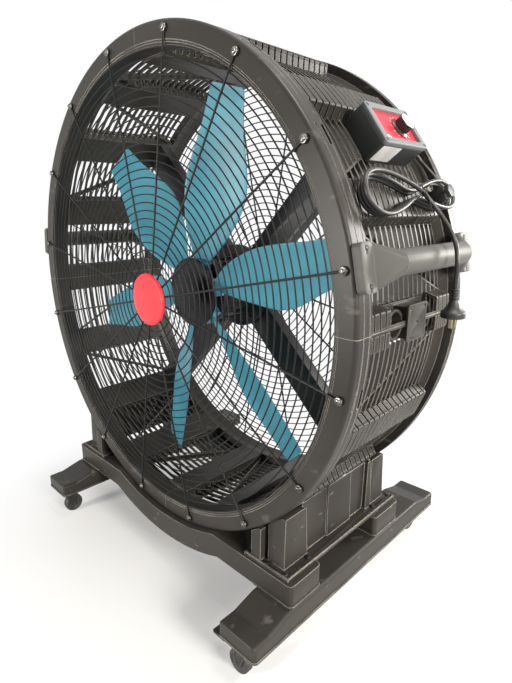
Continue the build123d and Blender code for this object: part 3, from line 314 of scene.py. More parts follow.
def wireShader(tree, shader, grain, colour, look, drift, depth):
    # colour, a roughness that drifts with the blotches, and the grain as a bump
    tree.links.new(colour, shader.inputs["Base Color"])
    rough = mathNode(tree, "MULTIPLY_ADD", grain.outputs["Blotches"], drift)
    rough.node.inputs[2].default_value = look["roughness"]
    tree.links.new(rough, shader.inputs["Roughness"])
    bump = tree.nodes.new("ShaderNodeBump")
    bump.inputs["Strength"].default_value = look.get("bump", 0.05)
    bump.inputs["Distance"].default_value = depth
    tree.links.new(grain.outputs["Height"], bump.inputs["Height"])
    tree.links.new(bump.outputs[0], shader.inputs["Normal"])
    shader.inputs["Specular IOR Level"].default_value = look.get("specular", 0.5)
    return bump


def mouldedPlastic(name, look):
    # satin moulded plastic with grain, blotches, scuffs and pale edges, the edges partly rubbed wear and
    # partly a painted highlight
    material, tree, shader = newMaterial(name)
    grain = placed(tree, mouldedGrain, Grain=look["grain"], Blotch=look["blotch"],
                   Scuff=look["scuff"])
    wearAndHighlight = placed(tree, edgeWearAndHighlight, Radius=look["edge"] * mm, Break=look["edgeBreak"])
    colour = mixNode(tree, grain.outputs["Blotches"], look["dark"], look["light"])
    # scuffs and edges both mix towards one pale colour; on the edges it is partly wear and partly a
    # painted highlight
    for mask, share in ((grain.outputs["Scuffs"], "scuffing"), (wearAndHighlight.outputs["Mask"], "edging")):
        colour = mixNode(tree, mathNode(tree, "MULTIPLY", mask, look[share]), colour,
                         look["rubbedAndHighlight"])
    bump = wireShader(tree, shader, grain, colour, look, drift=0.1, depth=0.0002)
    tree.links.new(wearAndHighlight.outputs["Normal"], bump.inputs["Normal"])
    return material


def finePaint(name, look):
    # even paint, plating or gloss: a colour that drifts a little, with a faint orange peel
    material, tree, shader = newMaterial(name)
    grain = placed(tree, mouldedGrain, Grain=look.get("grain", 400.0),
                   Blotch=look.get("blotch", 9.0))
    colour = mixNode(tree, grain.outputs["Blotches"], look["dark"], look["light"])
    wireShader(tree, shader, grain, colour, look, drift=look.get("roughDrift", 0.06),
               depth=0.0001)
    shader.inputs["Metallic"].default_value = look.get("metal", 0.0)
    return material


# the pale colour mixed in at scuffs and edges is wear, and on the edges also a painted highlight
charcoalLook = {
    "dark": (0.024, 0.022, 0.0192), "light": (0.036, 0.033, 0.0285),
    "rubbedAndHighlight": (0.34, 0.315, 0.275), "roughness": 0.36, "grain": 900, "blotch": 4,
    "scuff": 16, "scuffing": 0.09, "edge": 2, "edgeBreak": 9, "edging": 0.75,
    "bump": 0.25, "specular": 0.2}
charcoal = mouldedPlastic("charcoalPlastic", charcoalLook)
# the drum's edges are paler and stronger: a painted highlight along the slat and ring edges, partly wear
drumPlastic = mouldedPlastic("drumPlastic", {
    **charcoalLook, "rubbedAndHighlight": (0.52, 0.485, 0.43), "edging": 0.95, "edgeBreak": 6})
# paler edges on the base: painted highlight lines along its edges, partly wear
baseCharcoal = mouldedPlastic("baseCharcoal", {
    **charcoalLook, "scuffing": 0.16, "edging": 0.85, "edge": 3.2, "scuff": 26,
    "rubbedAndHighlight": (0.5, 0.465, 0.41)})
boxPlastic = mouldedPlastic("boxPlastic", {
    **charcoalLook, "dark": (0.026, 0.027, 0.028), "light": (0.034, 0.035, 0.036),
    "edging": 0.4, "scuffing": 0.03, "roughness": 0.45})
bezelPlastic = mouldedPlastic("bezelPlastic", {
    **charcoalLook, "dark": (0.135, 0.145, 0.15), "light": (0.17, 0.18, 0.187), "edging": 0.6,
    "scuffing": 0.05, "roughness": 0.5})
casterPlastic = mouldedPlastic("casterPlastic", {
    **charcoalLook, "dark": (0.02, 0.02, 0.02), "light": (0.03, 0.03, 0.03)})
# pale blue edges on the blades: a painted highlight along their edges, with a little scuffing
bladePlastic = mouldedPlastic("bladePlastic", {
    **charcoalLook, "dark": (0.05, 0.228, 0.312), "light": (0.062, 0.275, 0.37),
    "rubbedAndHighlight": (0.25, 0.56, 0.66), "edging": 0.6, "scuffing": 0.05, "bump": 0.08,
    "roughness": 0.34, "specular": 0.4, "blotch": 3})
badgePaint = finePaint("badgePaint", {
    "dark": (0.92, 0.018, 0.03), "light": (0.98, 0.024, 0.038), "roughness": 0.42})
panelFilm = finePaint("panelFilm", {
    "dark": (0.8, 0.026, 0.045), "light": (0.88, 0.034, 0.055), "roughness": 0.38})
whiteInk = finePaint("whiteInk", {
    "dark": (0.8, 0.8, 0.79), "light": (0.86, 0.86, 0.85), "roughness": 0.5})
labelPaper = finePaint("labelPaper", {
    "dark": (0.46, 0.455, 0.44), "light": (0.56, 0.555, 0.54), "roughness": 0.55,
    "blotch": 40})
wirePaint = finePaint("wirePaint", {
    "dark": (0.006, 0.006, 0.007), "light": (0.012, 0.012, 0.012), "roughness": 0.34,
    "specular": 0.2})
zincPlate = finePaint("zincPlate", {
    "dark": (0.1, 0.095, 0.09), "light": (0.24, 0.23, 0.21), "roughness": 0.3, "metal": 1,
    "blotch": 60})
blackScrew = finePaint("blackScrew", {
    "dark": (0.014, 0.014, 0.014), "light": (0.03, 0.03, 0.03), "roughness": 0.35,
    "metal": 0.5})
glossBlack = finePaint("glossBlack", {
    "dark": (0.006, 0.006, 0.007), "light": (0.01, 0.01, 0.01), "roughness": 0.22,
    "roughDrift": 0.05, "specular": 0.3})
armPaint = finePaint("armPaint", {
    "dark": (0.009, 0.009, 0.01), "light": (0.016, 0.016, 0.016), "roughness": 0.42,
    "specular": 0.3})
turnedSteel = finePaint("turnedSteel", {
    "dark": (0.42, 0.42, 0.42), "light": (0.55, 0.55, 0.55), "roughness": 0.28, "metal": 1})
windingWire = finePaint("windingWire", {
    "dark": (0.3, 0.12, 0.04), "light": (0.42, 0.18, 0.07), "roughness": 0.35, "metal": 0.6,
    "grain": 900, "bump": 0.5})
cordRubber = finePaint("cordRubber", {
    "dark": (0.013, 0.012, 0.011), "light": (0.022, 0.02, 0.018), "roughness": 0.42,
    "grain": 700, "bump": 0.1})
knobPlastic = finePaint("knobPlastic", {
    "dark": (0.012, 0.011, 0.011), "light": (0.022, 0.02, 0.02), "roughness": 0.32})
capPlastic = finePaint("capPlastic", {
    "dark": (0.62, 0.62, 0.61), "light": (0.72, 0.72, 0.71), "roughness": 0.35})
wheelRubber = finePaint("wheelRubber", {
    "dark": (0.02, 0.02, 0.02), "light": (0.035, 0.034, 0.033), "roughness": 0.55})
# a lighter copy of the charcoal plastic: partly the grip's own tone and partly painted light for the
# strong side light it catches
gripPlastic = mouldedPlastic("gripPlastic", {
    **charcoalLook, "dark": (0.068, 0.067, 0.062), "light": (0.09, 0.088, 0.081),
    "scuffing": 0.06, "grain": 500, "bump": 0.4, "roughness": 0.46})
# near black for the shade inside keyholes and screw slots, painted on thin pieces at the surface
holeShade = finePaint("holeShade", {
    "dark": (0.003, 0.003, 0.003), "light": (0.006, 0.006, 0.006), "roughness": 0.7})
pinMetal = finePaint("pinMetal", {
    "dark": (0.62, 0.52, 0.3), "light": (0.74, 0.63, 0.38), "roughness": 0.25, "metal": 1})
print("materials made")


# camera, floor and lights

# where the photograph was taken from, its line of sight and its slight roll
eye = Vector((0.9179, -0.8252, 0.8651))
sight = Vector((-0.6804, 0.6845, -0.2617)).normalized()
rollAngle = radians(-0.6203)
focalPixels = 485.303
photoHeight = 683
sensorWidth = 36


def makeCamera():
    right = sight.cross(Vector((0, 0, 1))).normalized()
    up = right.cross(sight)
    right, up = (right * cos(rollAngle) + up * sin(rollAngle),
                 up * cos(rollAngle) - right * sin(rollAngle))
    data = bpy.data.cameras.new("photoCamera")
    data.sensor_width = sensorWidth
    data.lens = focalPixels * sensorWidth / photoHeight
    data.clip_end = 60
    camera = newObject("photoCamera", data)
    turn = Matrix((right, up, -sight)).transposed().to_4x4()
    camera.matrix_world = Matrix.Translation(eye) @ turn
    bpy.context.scene.camera = camera


def seenRays(tree):
    # camera, mirror and glass rays, which see the white background
    path = tree.nodes.new("ShaderNodeLightPath")
    seen = mathNode(tree, "MAXIMUM", path.outputs["Is Camera Ray"], path.outputs["Is Glossy Ray"])
    return mathNode(tree, "MAXIMUM", seen, path.outputs["Is Transmission Ray"])


def makeStage():
    # a pale floor that keeps the shadow and fades into the white backdrop
    floorLook = {"half": 9, "colour": 0.86, "glow": 0.25, "fadeFrom": 0.22, "fadeTo": 0.85}
    half = floorLook["half"]
    mesh = bpy.data.meshes.new("floor")
    mesh.from_pydata([(-half, -half, 0), (half, -half, 0), (half, half, 0), (-half, half, 0)], [],
                     [(0, 1, 2, 3)])
    floor = newObject("floor", mesh)
    material = bpy.data.materials.new("floorPaint")
    material.use_nodes = True
    tree = material.node_tree
    tree.nodes.clear()
    place = tree.nodes.new("ShaderNodeTexCoord")
    length = tree.nodes.new("ShaderNodeVectorMath")
    length.operation = "LENGTH"
    tree.links.new(place.outputs["Object"], length.inputs[0])
    fade = rampNode(tree, length.outputs["Value"], floorLook["fadeFrom"], floorLook["fadeTo"])
    glow = mathNode(tree, "MAXIMUM", fade, floorLook["glow"])
    paint = tree.nodes.new("ShaderNodeBsdfDiffuse")
    paint.inputs[0].default_value = (floorLook["colour"],) * 3 + (1,)
    white = tree.nodes.new("ShaderNodeEmission")
    mix = tree.nodes.new("ShaderNodeMixShader")
    out = tree.nodes.new("ShaderNodeOutputMaterial")
    tree.links.new(mathNode(tree, "MULTIPLY", glow, seenRays(tree)), mix.inputs[0])
    tree.links.new(paint.outputs[0], mix.inputs[1])
    tree.links.new(white.outputs[0], mix.inputs[2])
    tree.links.new(mix.outputs[0], out.inputs[0])
    mesh.materials.append(material)

    world = bpy.data.worlds.new("studio")
    bpy.context.scene.world = world
    world.use_nodes = True
    tree = world.node_tree
    ambient, background = 0.11, 1.0
    strength = mathNode(tree, "MULTIPLY_ADD", seenRays(tree), background - ambient)
    strength.node.inputs[2].default_value = ambient
    sky = tree.nodes["Background"]
    sky.inputs[0].default_value = (1, 1, 1, 1)
    tree.links.new(strength, sky.inputs[1])


def softLamp(name, place, target, size, watts, colour):
    data = bpy.data.lights.new(name, "AREA")
    data.shape = "RECTANGLE"
    data.size, data.size_y = size
    data.energy = watts
    data.color = colour
    lamp = newObject(name, data)
    lamp.location = place
    lamp.rotation_euler = (Vector(target) - Vector(place)).to_track_quat("-Z", "Y").to_euler()


makeCamera()
makeStage()
softLamp("keyLamp", (3.3, -0.5, 1.6), (0, 0, 0.7), (0.9, 0.9), 150, (1, 0.96, 0.88))
softLamp("topLamp", (0.9, 0.2, 3.2), (0, 0, 0.6), (1.0, 1.0), 56, (1, 0.98, 0.95))
softLamp("rimLamp", (1.9, 2.9, 1.5), (0.5, 0, 0.7), (0.8, 1.2), 140, (1, 0.97, 0.92))
softLamp("ringLamp", (-0.7, -2.5, 0.7), (0.3, -0.23, 0.8), (0.5, 0.5), 62, (1, 0.96, 0.89))
bpy.context.scene.view_settings.view_transform = "Standard"
print("camera, floor and lights made")


# the mains lead

# the route is worked out in millimetres about the drum's front centre, as the drum is
cord = {"thick": 7.5, "rest": 0.9, "layerStep": 8.6, "hankAngle": 22.5, "turns": 2.75,
        "loopPoints": 16, "waistY": 192, "waistHalf": 3, "leftReach": 144,
        "rightReach": 134, "reachGrowth": 4, "leftLobe": 29, "rightLobe": 20,
        "lobeGrowth": 2.5, "climbFrom": 0.25, "climb": 0.125, "length": 2.077}
ringR = 536.0
boxPlace = {"angle": 35.5, "middleY": 216, "length": 140, "width": 84, "faceR": 563,
            "bezel": 8, "panel": 2, "screwInset": 6.5, "knobOffset": 17}
gland = {"x": 527, "z": -20, "reach": 16}


def layerX(layer):
    return ringR + cord["thick"] / 2 + cord["rest"] + layer * cord["layerStep"]


def hankPoints():
    # pinched loops that widen and climb one layer with each turn
    points = []
    for k in range(round(cord["turns"] * cord["loopPoints"]) + 1):
        turn = k / cord["loopPoints"]
        phase = -2 * pi * turn
        quarter = k % cord["loopPoints"] * 4
        right = quarter < cord["loopPoints"] or quarter > 3 * cord["loopPoints"]
        reach = (cord["rightReach"] if right else cord["leftReach"]) + turn * cord["reachGrowth"]
        lobe = (cord["rightLobe"] if right else cord["leftLobe"]) + turn * cord["lobeGrowth"]
        side = 1 if sin(phase) > 0 else -1
        whole = int(turn + cord["climbFrom"])
        climb = min((turn + cord["climbFrom"] - whole) / cord["climb"], 1)
        last = max(turn - (cord["turns"] - cord["climb"]), 0) / cord["climb"]
        points.append((layerX(whole + climb - 1 + last), cord["waistY"] + reach * cos(phase),
                       side * lobe * abs(sin(2 * phase)) + cord["waistHalf"] * sin(phase)))
    return points


def leadPoints():
    # from the gland behind the box down to the hank, in the hank's own frame
    exitY = boxPlace["middleY"] + boxPlace["length"] / 2 + gland["reach"]
    turn = radians(boxPlace["angle"] - cord["hankAngle"])
    x = gland["x"] * cos(turn) - gland["z"] * sin(turn)
    z = gland["x"] * sin(turn) + gland["z"] * cos(turn)
    first = hankPoints()[0]
    return [(x, exitY, z), (x, exitY + 19, z), (x + 1, exitY + 35, z - 21),
            (first[0], first[1] + 3, first[2] + 36)]


# the free end, over the grip and down to the plug
freePoints = [(535, 205, 200), (552, 214, 176), (573, 211, 150), (590, 195, 128.8),
              (596, 190, 101), (591, 200, 77), (591, 202, 61)]


def makeCord():
    route = np.concatenate([turned(np.array(leadPoints() + hankPoints()), cord["hankAngle"]),
                            np.array(freePoints, float)])
    curve = bpy.data.curves.new("mainsLead", "CURVE")
    curve.dimensions = "3D"
    spline = curve.splines.new("NURBS")
    spline.points.add(len(route) - 1)
    for point, place in zip(spline.points, onDrum(route)):
        point.co = (*place, 1)
    spline.order_u = 3
    spline.use_endpoint_u = True
    spline.resolution_u = 10
    curve.bevel_depth = cord["thick"] / 2 * mm
    curve.bevel_resolution = 4
    curve.use_fill_caps = True
    lead = newObject("mainsLead", curve)
    curve.materials.append(cordRubber)
    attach(lead, "frame")
    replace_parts(lead, "power_cord", "cord_hank")
    return lead, onDrum(route[0])


def makeRelief():
    # the tapered, ribbed sleeve on the gland's end
    relief = {"length": 17, "wide": 6.6, "narrow": 4.3, "ribs": 6}
    s = np.linspace(0, 1, 61)
    radius = relief["wide"] + (relief["narrow"] - relief["wide"]) * s
    ribs = np.clip(np.sin(2 * pi * relief["ribs"] * s) * 3, -1, 1) * 0.35 * (s < 0.97)
    profile = [(0, 0)] + list(zip(radius + ribs, s * relief["length"])) + [
        (cord["thick"] / 2 - 0.3, relief["length"])]
    points, faces = lathe(profile, 40)
    start = np.array(leadPoints()[0])
    points = onDrum(turned(points + start, cord["hankAngle"]))
    return makePiece("cordRelief", [(points, faces)], cordRubber)


def makePlug():
    # ribbed neck, flared body and round rim, with two flat pins
    plug = {"place": (591, 202, 61), "half": 20, "neckRibs": 4, "ribStep": 4.5,
            "pinGap": 13, "pin": 17}
    half = plug["half"]
    profile = [(cord["thick"] / 2, 0.0)]
    for k in range(plug["neckRibs"]):
        z = -1 - plug["ribStep"] * k
        profile += [(6.0, z), (6.5, z - 0.7), (6.5, z - 2.0), (6.0, z - 2.7), (4.9, z - 3.0),
                    (4.9, z - 4.2)]
    profile += [(6.6, -19.5), (8.0, -23.0), (11.5, -31.0), (half - 4, -37.0), (half - 1.6, -38.2),
                (half - 0.4, -39.4), (half, -41.0), (half, -43.6), (half - 0.8, -44.0),
                (half - 0.8, -45.0), (half, -45.4), (half, -47.6), (half - 0.5, -49.2),
                (half - 2.2, -50.0), (half - 3, -49.6), (0, -49.6)]
    points, faces = lathe(profile, 64, "Z")
    offset = np.array(plug["place"])
    body = makePiece("plugBody", [(onDrum(points + offset), faces)], cordRubber,
                     sharp=40)
    pins = [slab((-3.2, side * plug["pinGap"] / 2 - 0.8, -50 - plug["pin"]),
                 (3.2, side * plug["pinGap"] / 2 + 0.8, -49)) for side in (-1, 1)]
    blades = makePiece("plugPins", [(onDrum(p + offset), f) for p, f in pins], pinMetal,
                       sharp=40)
    bevel = blades.modifiers.new("roundEdges", "BEVEL")
    bevel.width = 0.35 * mm
    bevel.segments = 2
    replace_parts(body, "mains_plug")
    return [body, blades]


def makeTie():
    # a wire tie round the hank's waist, its two ends twisted and left as a curly tail
    tie = {"wire": 0.9, "tail": 0.8, "taper": 0.25, "curl": 5, "drop": 44, "twists": 26}
    half = cord["waistHalf"] + cord["thick"] + 0.8
    low, high = layerX(0) - cord["thick"] / 2 - 0.8, layerX(3) + cord["thick"] / 2 + 0.2
    middle, depth = (low + high) / 2, (high - low) / 2
    t = np.linspace(0, 2 * pi, 80, endpoint=False)

    def squashed(value):
        # a circle swollen towards a rounded square
        return np.sign(value) * np.abs(value) ** 0.55

    loop = np.stack([middle + depth * squashed(np.cos(t)), cord["waistY"] + 0.8 * np.sin(3 * t),
                     half * squashed(np.sin(t))], -1)
    parts = [tube(loop, tie["wire"], 10, (0, 1, 0), closed=True)]
    s = np.linspace(0, 1, 90)
    curl = tie["curl"] * s * (1 - 0.3 * s)
    for turn in (0, pi):
        twist = 1.0 * (1 - s)
        spin = tie["twists"] * s + turn
        tail = np.stack([high + 1.2 + 3 * np.sin(pi * s) + twist * np.cos(spin),
                         cord["waistY"] - 2 + curl * np.sin(7 * s) + 6 * s
                         + twist * np.sin(spin),
                         -4 - tie["drop"] * s + (turn > 0) * 8 * s * s + curl * np.cos(7 * s)], -1)
        parts.append(tube(tail, tie["tail"] - tie["taper"] * s, 8, (0, 1, 0.2)))
    parts = [(onDrum(turned(p, cord["hankAngle"])), f) for p, f in parts]
    piece = makePiece("wireTie", parts, armPaint)
    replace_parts(piece, "cord_tie")
    return piece


lead, leadExit = makeCord()
leadPieces = [makeRelief()] + makePlug() + [makeTie()]
print("mains lead made")


# shared outlines and screws

def roundedLoop(corners, radius, steps=6):
    # a closed outline in a plane: straight sides joined by arcs, radius for each corner
    corners = np.asarray(corners, float)
    points = []
    for k, here in enumerate(corners):
        before = corners[k - 1] - here
        after = corners[(k + 1) % len(corners)] - here
        before, after = before / np.linalg.norm(before), after / np.linalg.norm(after)
        half = np.arccos(np.clip(before @ after, -1, 1)) / 2
        centre = here + (before + after) / np.linalg.norm(before + after) * radius / sin(half)
        start, end = here + before * radius / np.tan(half), here + after * radius / np.tan(half)
        a0 = atan2(*(start - centre)[::-1])
        turn = (atan2(*(end - centre)[::-1]) - a0 + pi) % (2 * pi) - pi
        a = a0 + turn * np.linspace(0, 1, steps + 1)
        points += list(centre + radius * np.stack([np.cos(a), np.sin(a)], -1))
    return np.array(points)


def outwards(loop, distance):
    # an outline moved outwards by a distance, for an outline that runs anticlockwise
    along = np.roll(loop, -1, 0) - np.roll(loop, 1, 0)
    along /= np.linalg.norm(along, axis=1)[:, None]
    return loop + distance * np.stack([along[:, 1], -along[:, 0]], -1)


def rimStrip(loop, inner, outer, low, high):
    # a closed band between two offsets of an outline and two heights
    rows = [(outer, low), (outer, high), (inner, high), (inner, low)]
    grid = [np.column_stack([outwards(loop, d), np.full(len(loop), h)]) for d, h in rows]
    points = np.stack(grid).reshape(-1, 3)
    return points, gridFaces(4, len(loop), closeRows=True, closeColumns=True)


def rectangle(x0, x1, y0, y1):
    return [(x0, y0), (x1, y0), (x1, y1), (x0, y1)]


washerThick = 1.2


def panHead(radius, height, washer=0.0):
    # a domed screw head along +Z, on a washer if its radius is given, standing on zero
    lift = washerThick if washer else 0.0
    a = np.linspace(0, pi / 2, 7)
    dome = list(zip(radius * np.cos(a) ** 0.7, lift + height * (0.35 + 0.65 * np.sin(a))))
    profile = [(washer, 0), (washer, lift - 0.3), (washer - 0.3, lift)] if washer else []
    profile += [(radius, lift)] + dome
    return lathe(profile, 24, "Z")


def crossMark(radius, height, washer=0.0):
    # the driver recess, as two thin crossed near-black bars let into the dome's top: painted shade where
    # the recess would be
    top = (washerThick if washer else 0.0) + height
    half, wide = radius * 0.55, radius * 0.13
    return [slab((-half, -wide, top - 0.9), (half, wide, top + 0.05)),
            slab((-wide, -half, top - 0.9), (wide, half, top + 0.05))]


def aimed(points, place, way):
    # turns +Z to a direction and moves the points to a place, in millimetres
    way = Vector(way).normalized()
    turn = np.array(way.to_track_quat("Z", "Y").to_matrix())
    return points @ turn.T + np.array(place)


def screwSet(name, places, radius, height, material, body, washer=0.0):
    # many heads in one piece and their recesses, painted as near-black shade, in another
    heads, marks = [], []
    for k, (place, way) in enumerate(places):
        points, faces = panHead(radius, height, washer)
        heads.append((onDrum(aimed(points, place, way)), faces))
        # each recess is turned further than the last, as driven screws are
        for bar, barFaces in crossMark(radius, height, washer):
            marks.append((onDrum(aimed(spun(bar, 37 * k, "Z"), place, way)), barFaces))
    piece = makePiece(name, heads, material, body, sharp=50)
    makePiece(name + "Recess", marks, knobPlastic, body)
    return piece


def radialWay(angle):
    return (cos(radians(angle)), 0, sin(radians(angle)))


def around(radius, y, z, angle):
    # a place on the drum: radius out, y back, z along the rim, at an angle
    return turned(np.array([radius, y, z], float), angle)


def dress(material, *names):
    for name in names:
        for held in nodes[name].material_slots:
            held.material = material


# guards

guard = {"rings": 26, "first": 74, "last": 489, "centre": 52, "wire": 2.8, "spoke": 4.2,
         "depth": 4.5, "bolts": 16, "boltR": 520, "eyelet": 7.5, "hole": 2.9}
boltAngles = [360 / guard["bolts"] * (k + 0.5) for k in range(guard["bolts"])]


def makeGuard(node, name, face, outward):
    # rings next to the drum and spokes in front; outward is -1 in front and +1 behind
    parts = []
    ringY = face + outward * (guard["wire"] / 2 + 0.05)
    spokeY = face + outward * (guard["depth"] - guard["spoke"] / 2)
    radii = np.linspace(guard["first"], guard["last"], guard["rings"])
    for radius in list(radii) + [guard["centre"]]:
        steps = int(60 + radius * 0.3)
        t = np.linspace(0, 2 * pi, steps, endpoint=False)
        path = np.stack([radius * np.cos(t), 0 * t + ringY, radius * np.sin(t)], -1)
        parts.append(tube(path, guard["wire"] / 2, 8, (0, 1, 0), closed=True))
    disc = [(guard["centre"], -1.2), (guard["centre"], 1.2), (0, 1.2)]
    points, faces = lathe([(0, -1.2)] + disc, 64)
    parts.append((points + np.array([0, ringY, 0]), faces))
    eye, hole, half = guard["eyelet"], guard["hole"], guard["depth"] / 2
    ring = [(eye - 1.2, -half), (eye, -half + 1.2), (eye, half - 1.2), (eye - 1.2, half),
            (hole, half), (hole, -half), (eye - 1.2, -half)]
    eyelet, eyeletFaces = lathe(ring, 24)
    eyelet = eyelet + np.array([guard["boltR"], face + outward * half, 0])
    for angle in boltAngles:
        path = np.array([[r, spokeY, 0] for r in np.linspace(guard["centre"] - 4,
                                                             guard["boltR"] - eye + 1, 12)])
        points, faces = tube(path, guard["spoke"] / 2, 10, (0, 1, 0))
        parts.append((turned(points, angle), faces))
        parts.append((turned(eyelet, angle), eyeletFaces))
    piece = makePiece(name, [(onDrum(p), f) for p, f in parts], wirePaint, sharp=60)
    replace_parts(piece, node)


drumDepth = 367.5
makeGuard("front_guard", "frontWireGuard", 0.0, -1)
makeGuard("rear_guard", "rearWireGuard", drumDepth, 1)
guardPlaces = [(around(guard["boltR"], -guard["depth"], 0, a), (0, -1, 0)) for a in boltAngles]
guardPlaces += [(around(guard["boltR"], drumDepth + guard["depth"], 0, a), (0, 1, 0))
                for a in boltAngles]
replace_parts(screwSet("guardScrewHeads", guardPlaces, 4.8, 3.4, zincPlate, "frame",
                     washer=7.2), "guard_screws")


def makeBadge():
    # a low dish: flat face, rolled rim and a plain raised lip just inside it
    front, r, roll = -13.0, 58.0, 4
    profile = [(0, front + 1.6), (r - 12, front + 1.3), (r - 9, front + 0.9), (r - 7, front + 0.5),
               (r - 5, front + 0.7)]
    a = np.linspace(radians(100), radians(-60), 9)
    profile += list(zip(r - roll + roll * np.cos(a), front + 4.4 - roll * np.sin(a)))
    profile += [(r - 1.6, front + 8.4), (0, front + 8.4)]
    points, faces = lathe(profile, 128)
    piece = makePiece("badgeDisc", [(onDrum(points), faces)], badgePaint, sharp=60)
    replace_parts(piece, "centre_badge")


makeBadge()
print("guards and badge made")


# rotor and motor

rotor = {"planeY": 130, "hubR": 82, "bossR": 37, "rootWidth": 40, "rootHeight": 24,
         "thick": 4, "tipR": 450, "count": 6, "phase": 13.5, "belly": 0.057,
         "tipFrom": 440, "tipCut": 12}
# radius, chord, pitch in degrees and sideways shift of each blade station
bladeStations = [(79, 36, 34, 0), (150, 104, 30, -3), (228, 145, 26, -8), (390, 97, 17.5, 0),
                 (450, 82, 15.5, 3)]


def smoothAt(x, xs, ys):
    # a smooth curve through the stations: cubic pieces with matched slopes
    slopes = np.gradient(ys, xs)
    k = np.clip(np.searchsorted(xs, x, side="right") - 1, 0, len(xs) - 2)
    h = xs[k + 1] - xs[k]
    s = (x - xs[k]) / h
    return ((2 * s ** 3 - 3 * s ** 2 + 1) * ys[k] + (s ** 3 - 2 * s ** 2 + s) * h * slopes[k]
            + (3 * s ** 2 - 2 * s ** 3) * ys[k + 1] + (s ** 3 - s ** 2) * h * slopes[k + 1])


def bladeSurface():
    # closed aerofoil outlines at many radii; s runs across the chord from -0.5 to 0.5
    table = np.array(bladeStations, float)
    radius = np.concatenate([np.linspace(table[0, 0], 444, 40), [447, 449, rotor["tipR"]]])
    chord, pitch, shift = [smoothAt(radius, table[:, 0], table[:, k]) for k in (1, 2, 3)]
    # the tip's corners are rounded off over the last few millimetres
    into = np.clip((radius - rotor["tipFrom"]) / (rotor["tipR"] - rotor["tipFrom"]), 0, 1)
    chord = chord - rotor["tipCut"] * (1 - np.sqrt(np.clip(1 - into ** 2, 0, 1)))
    a = np.linspace(0, 2 * pi, 44, endpoint=False)
    s = 0.5 * np.cos(a)
    half = rotor["thick"] / 2 * np.sign(np.sin(a)) * (1 - np.abs(np.cos(a)) ** 7) ** 0.5
    across = rotor["belly"] * chord[:, None] * (1 - 4 * s[None] ** 2) + half[None]
    along = s[None] * chord[:, None]
    p = np.radians(pitch)[:, None]
    y = rotor["planeY"] + across * np.cos(p) - along * np.sin(p)
    z = shift[:, None] + across * np.sin(p) + along * np.cos(p)
    x = np.broadcast_to(radius[:, None], y.shape)
    points = np.stack([x, y, z], -1)
    rows, columns = y.shape
    ends = [list(range(columns)), list(range((rows - 1) * columns, rows * columns))]
    return points.reshape(-1, 3), gridFaces(rows, columns, closeColumns=True), ends


def makeBlades():
    points, faces, ends = bladeSurface()
    half, high = rotor["rootWidth"] / 2, rotor["rootHeight"] / 2
    root, rootFaces = slab((rotor["bossR"] + 0.5, rotor["planeY"] - high, -half),
                           (rotor["hubR"] - 2, rotor["planeY"] + high, half))
    for k in range(rotor["count"]):
        angle = rotor["phase"] + 360 / rotor["count"] * k
        parts = [(onDrum(turned(points, angle)), faces), (onDrum(turned(root, angle)), rootFaces)]
        piece = makePiece(f"blade{k + 1}", parts, bladePlastic, "rotor", sharp=60,
                          ends=ends)
        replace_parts(piece, f"fan_blade_{k + 1}")


def makeHub():
    # a glossy dome with a rolled rim, and the plate behind the blade roots
    back, front, r = 118.0, 100.0, rotor["hubR"]
    height = back - 6 - front
    dome = (r ** 2 + height ** 2) / (2 * height)
    a = np.linspace(0, np.arcsin((r - 1.5) / dome), 28)
    profile = list(zip(dome * np.sin(a), front + dome * (1 - np.cos(a))))
    profile += [(r - 0.4, back - 5.2), (r, back - 4), (r, back), (r - 4, back), (r - 4, back - 6)]
    points, faces = lathe(profile, 128)
    cap = makePiece("hubDome", [(onDrum(points), faces)], glossBlack, "rotor",
                    sharp=60)
    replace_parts(cap, "hub_cap")
    softened("rotor_hub", 1.0, armPaint, "rotor")
    softened("blade_screws", 0.8, zincPlate, "rotor")


makeBlades()
makeHub()
for name in ("motor_housing", "motor_end_bell"):
    softened(name, 1.0, armPaint)
for k in range(4):
    softened(f"motor_arm_{k + 1}", 0.8, armPaint)
dress(turnedSteel, "motor_shaft", "motor_bearings")
dress(windingWire, "motor_stator")
armScrews = {"angles": (45, 135, 225, 315), "across": 18.75, "motorR": 86.5, "motorY": 273,
             "wallR": 480, "wallY": 284}
armPlaces = []
for a in armScrews["angles"]:
    sides = (-armScrews["across"], armScrews["across"])
    armPlaces += [(around(armScrews["motorR"], armScrews["motorY"], z, a), (0, 1, 0))
                  for z in sides]
    armPlaces += [(around(armScrews["wallR"], armScrews["wallY"], z, a),
                   tuple(-c for c in radialWay(a))) for z in sides]
screwSet("armScrewHeads", armPlaces, 5, 4, zincPlate, "frame")
print("rotor and motor made")


# drum, handles and side mounts

dress(drumPlastic, "side_rails", *[f"drum_segment_{k}" for k in range(1, 5)])
for side in ("right", "left"):
    softened(f"handle_{side}", 1.6, gripPlastic, segments=3)
    softened(f"side_mount_{side}", 1.0, charcoal)


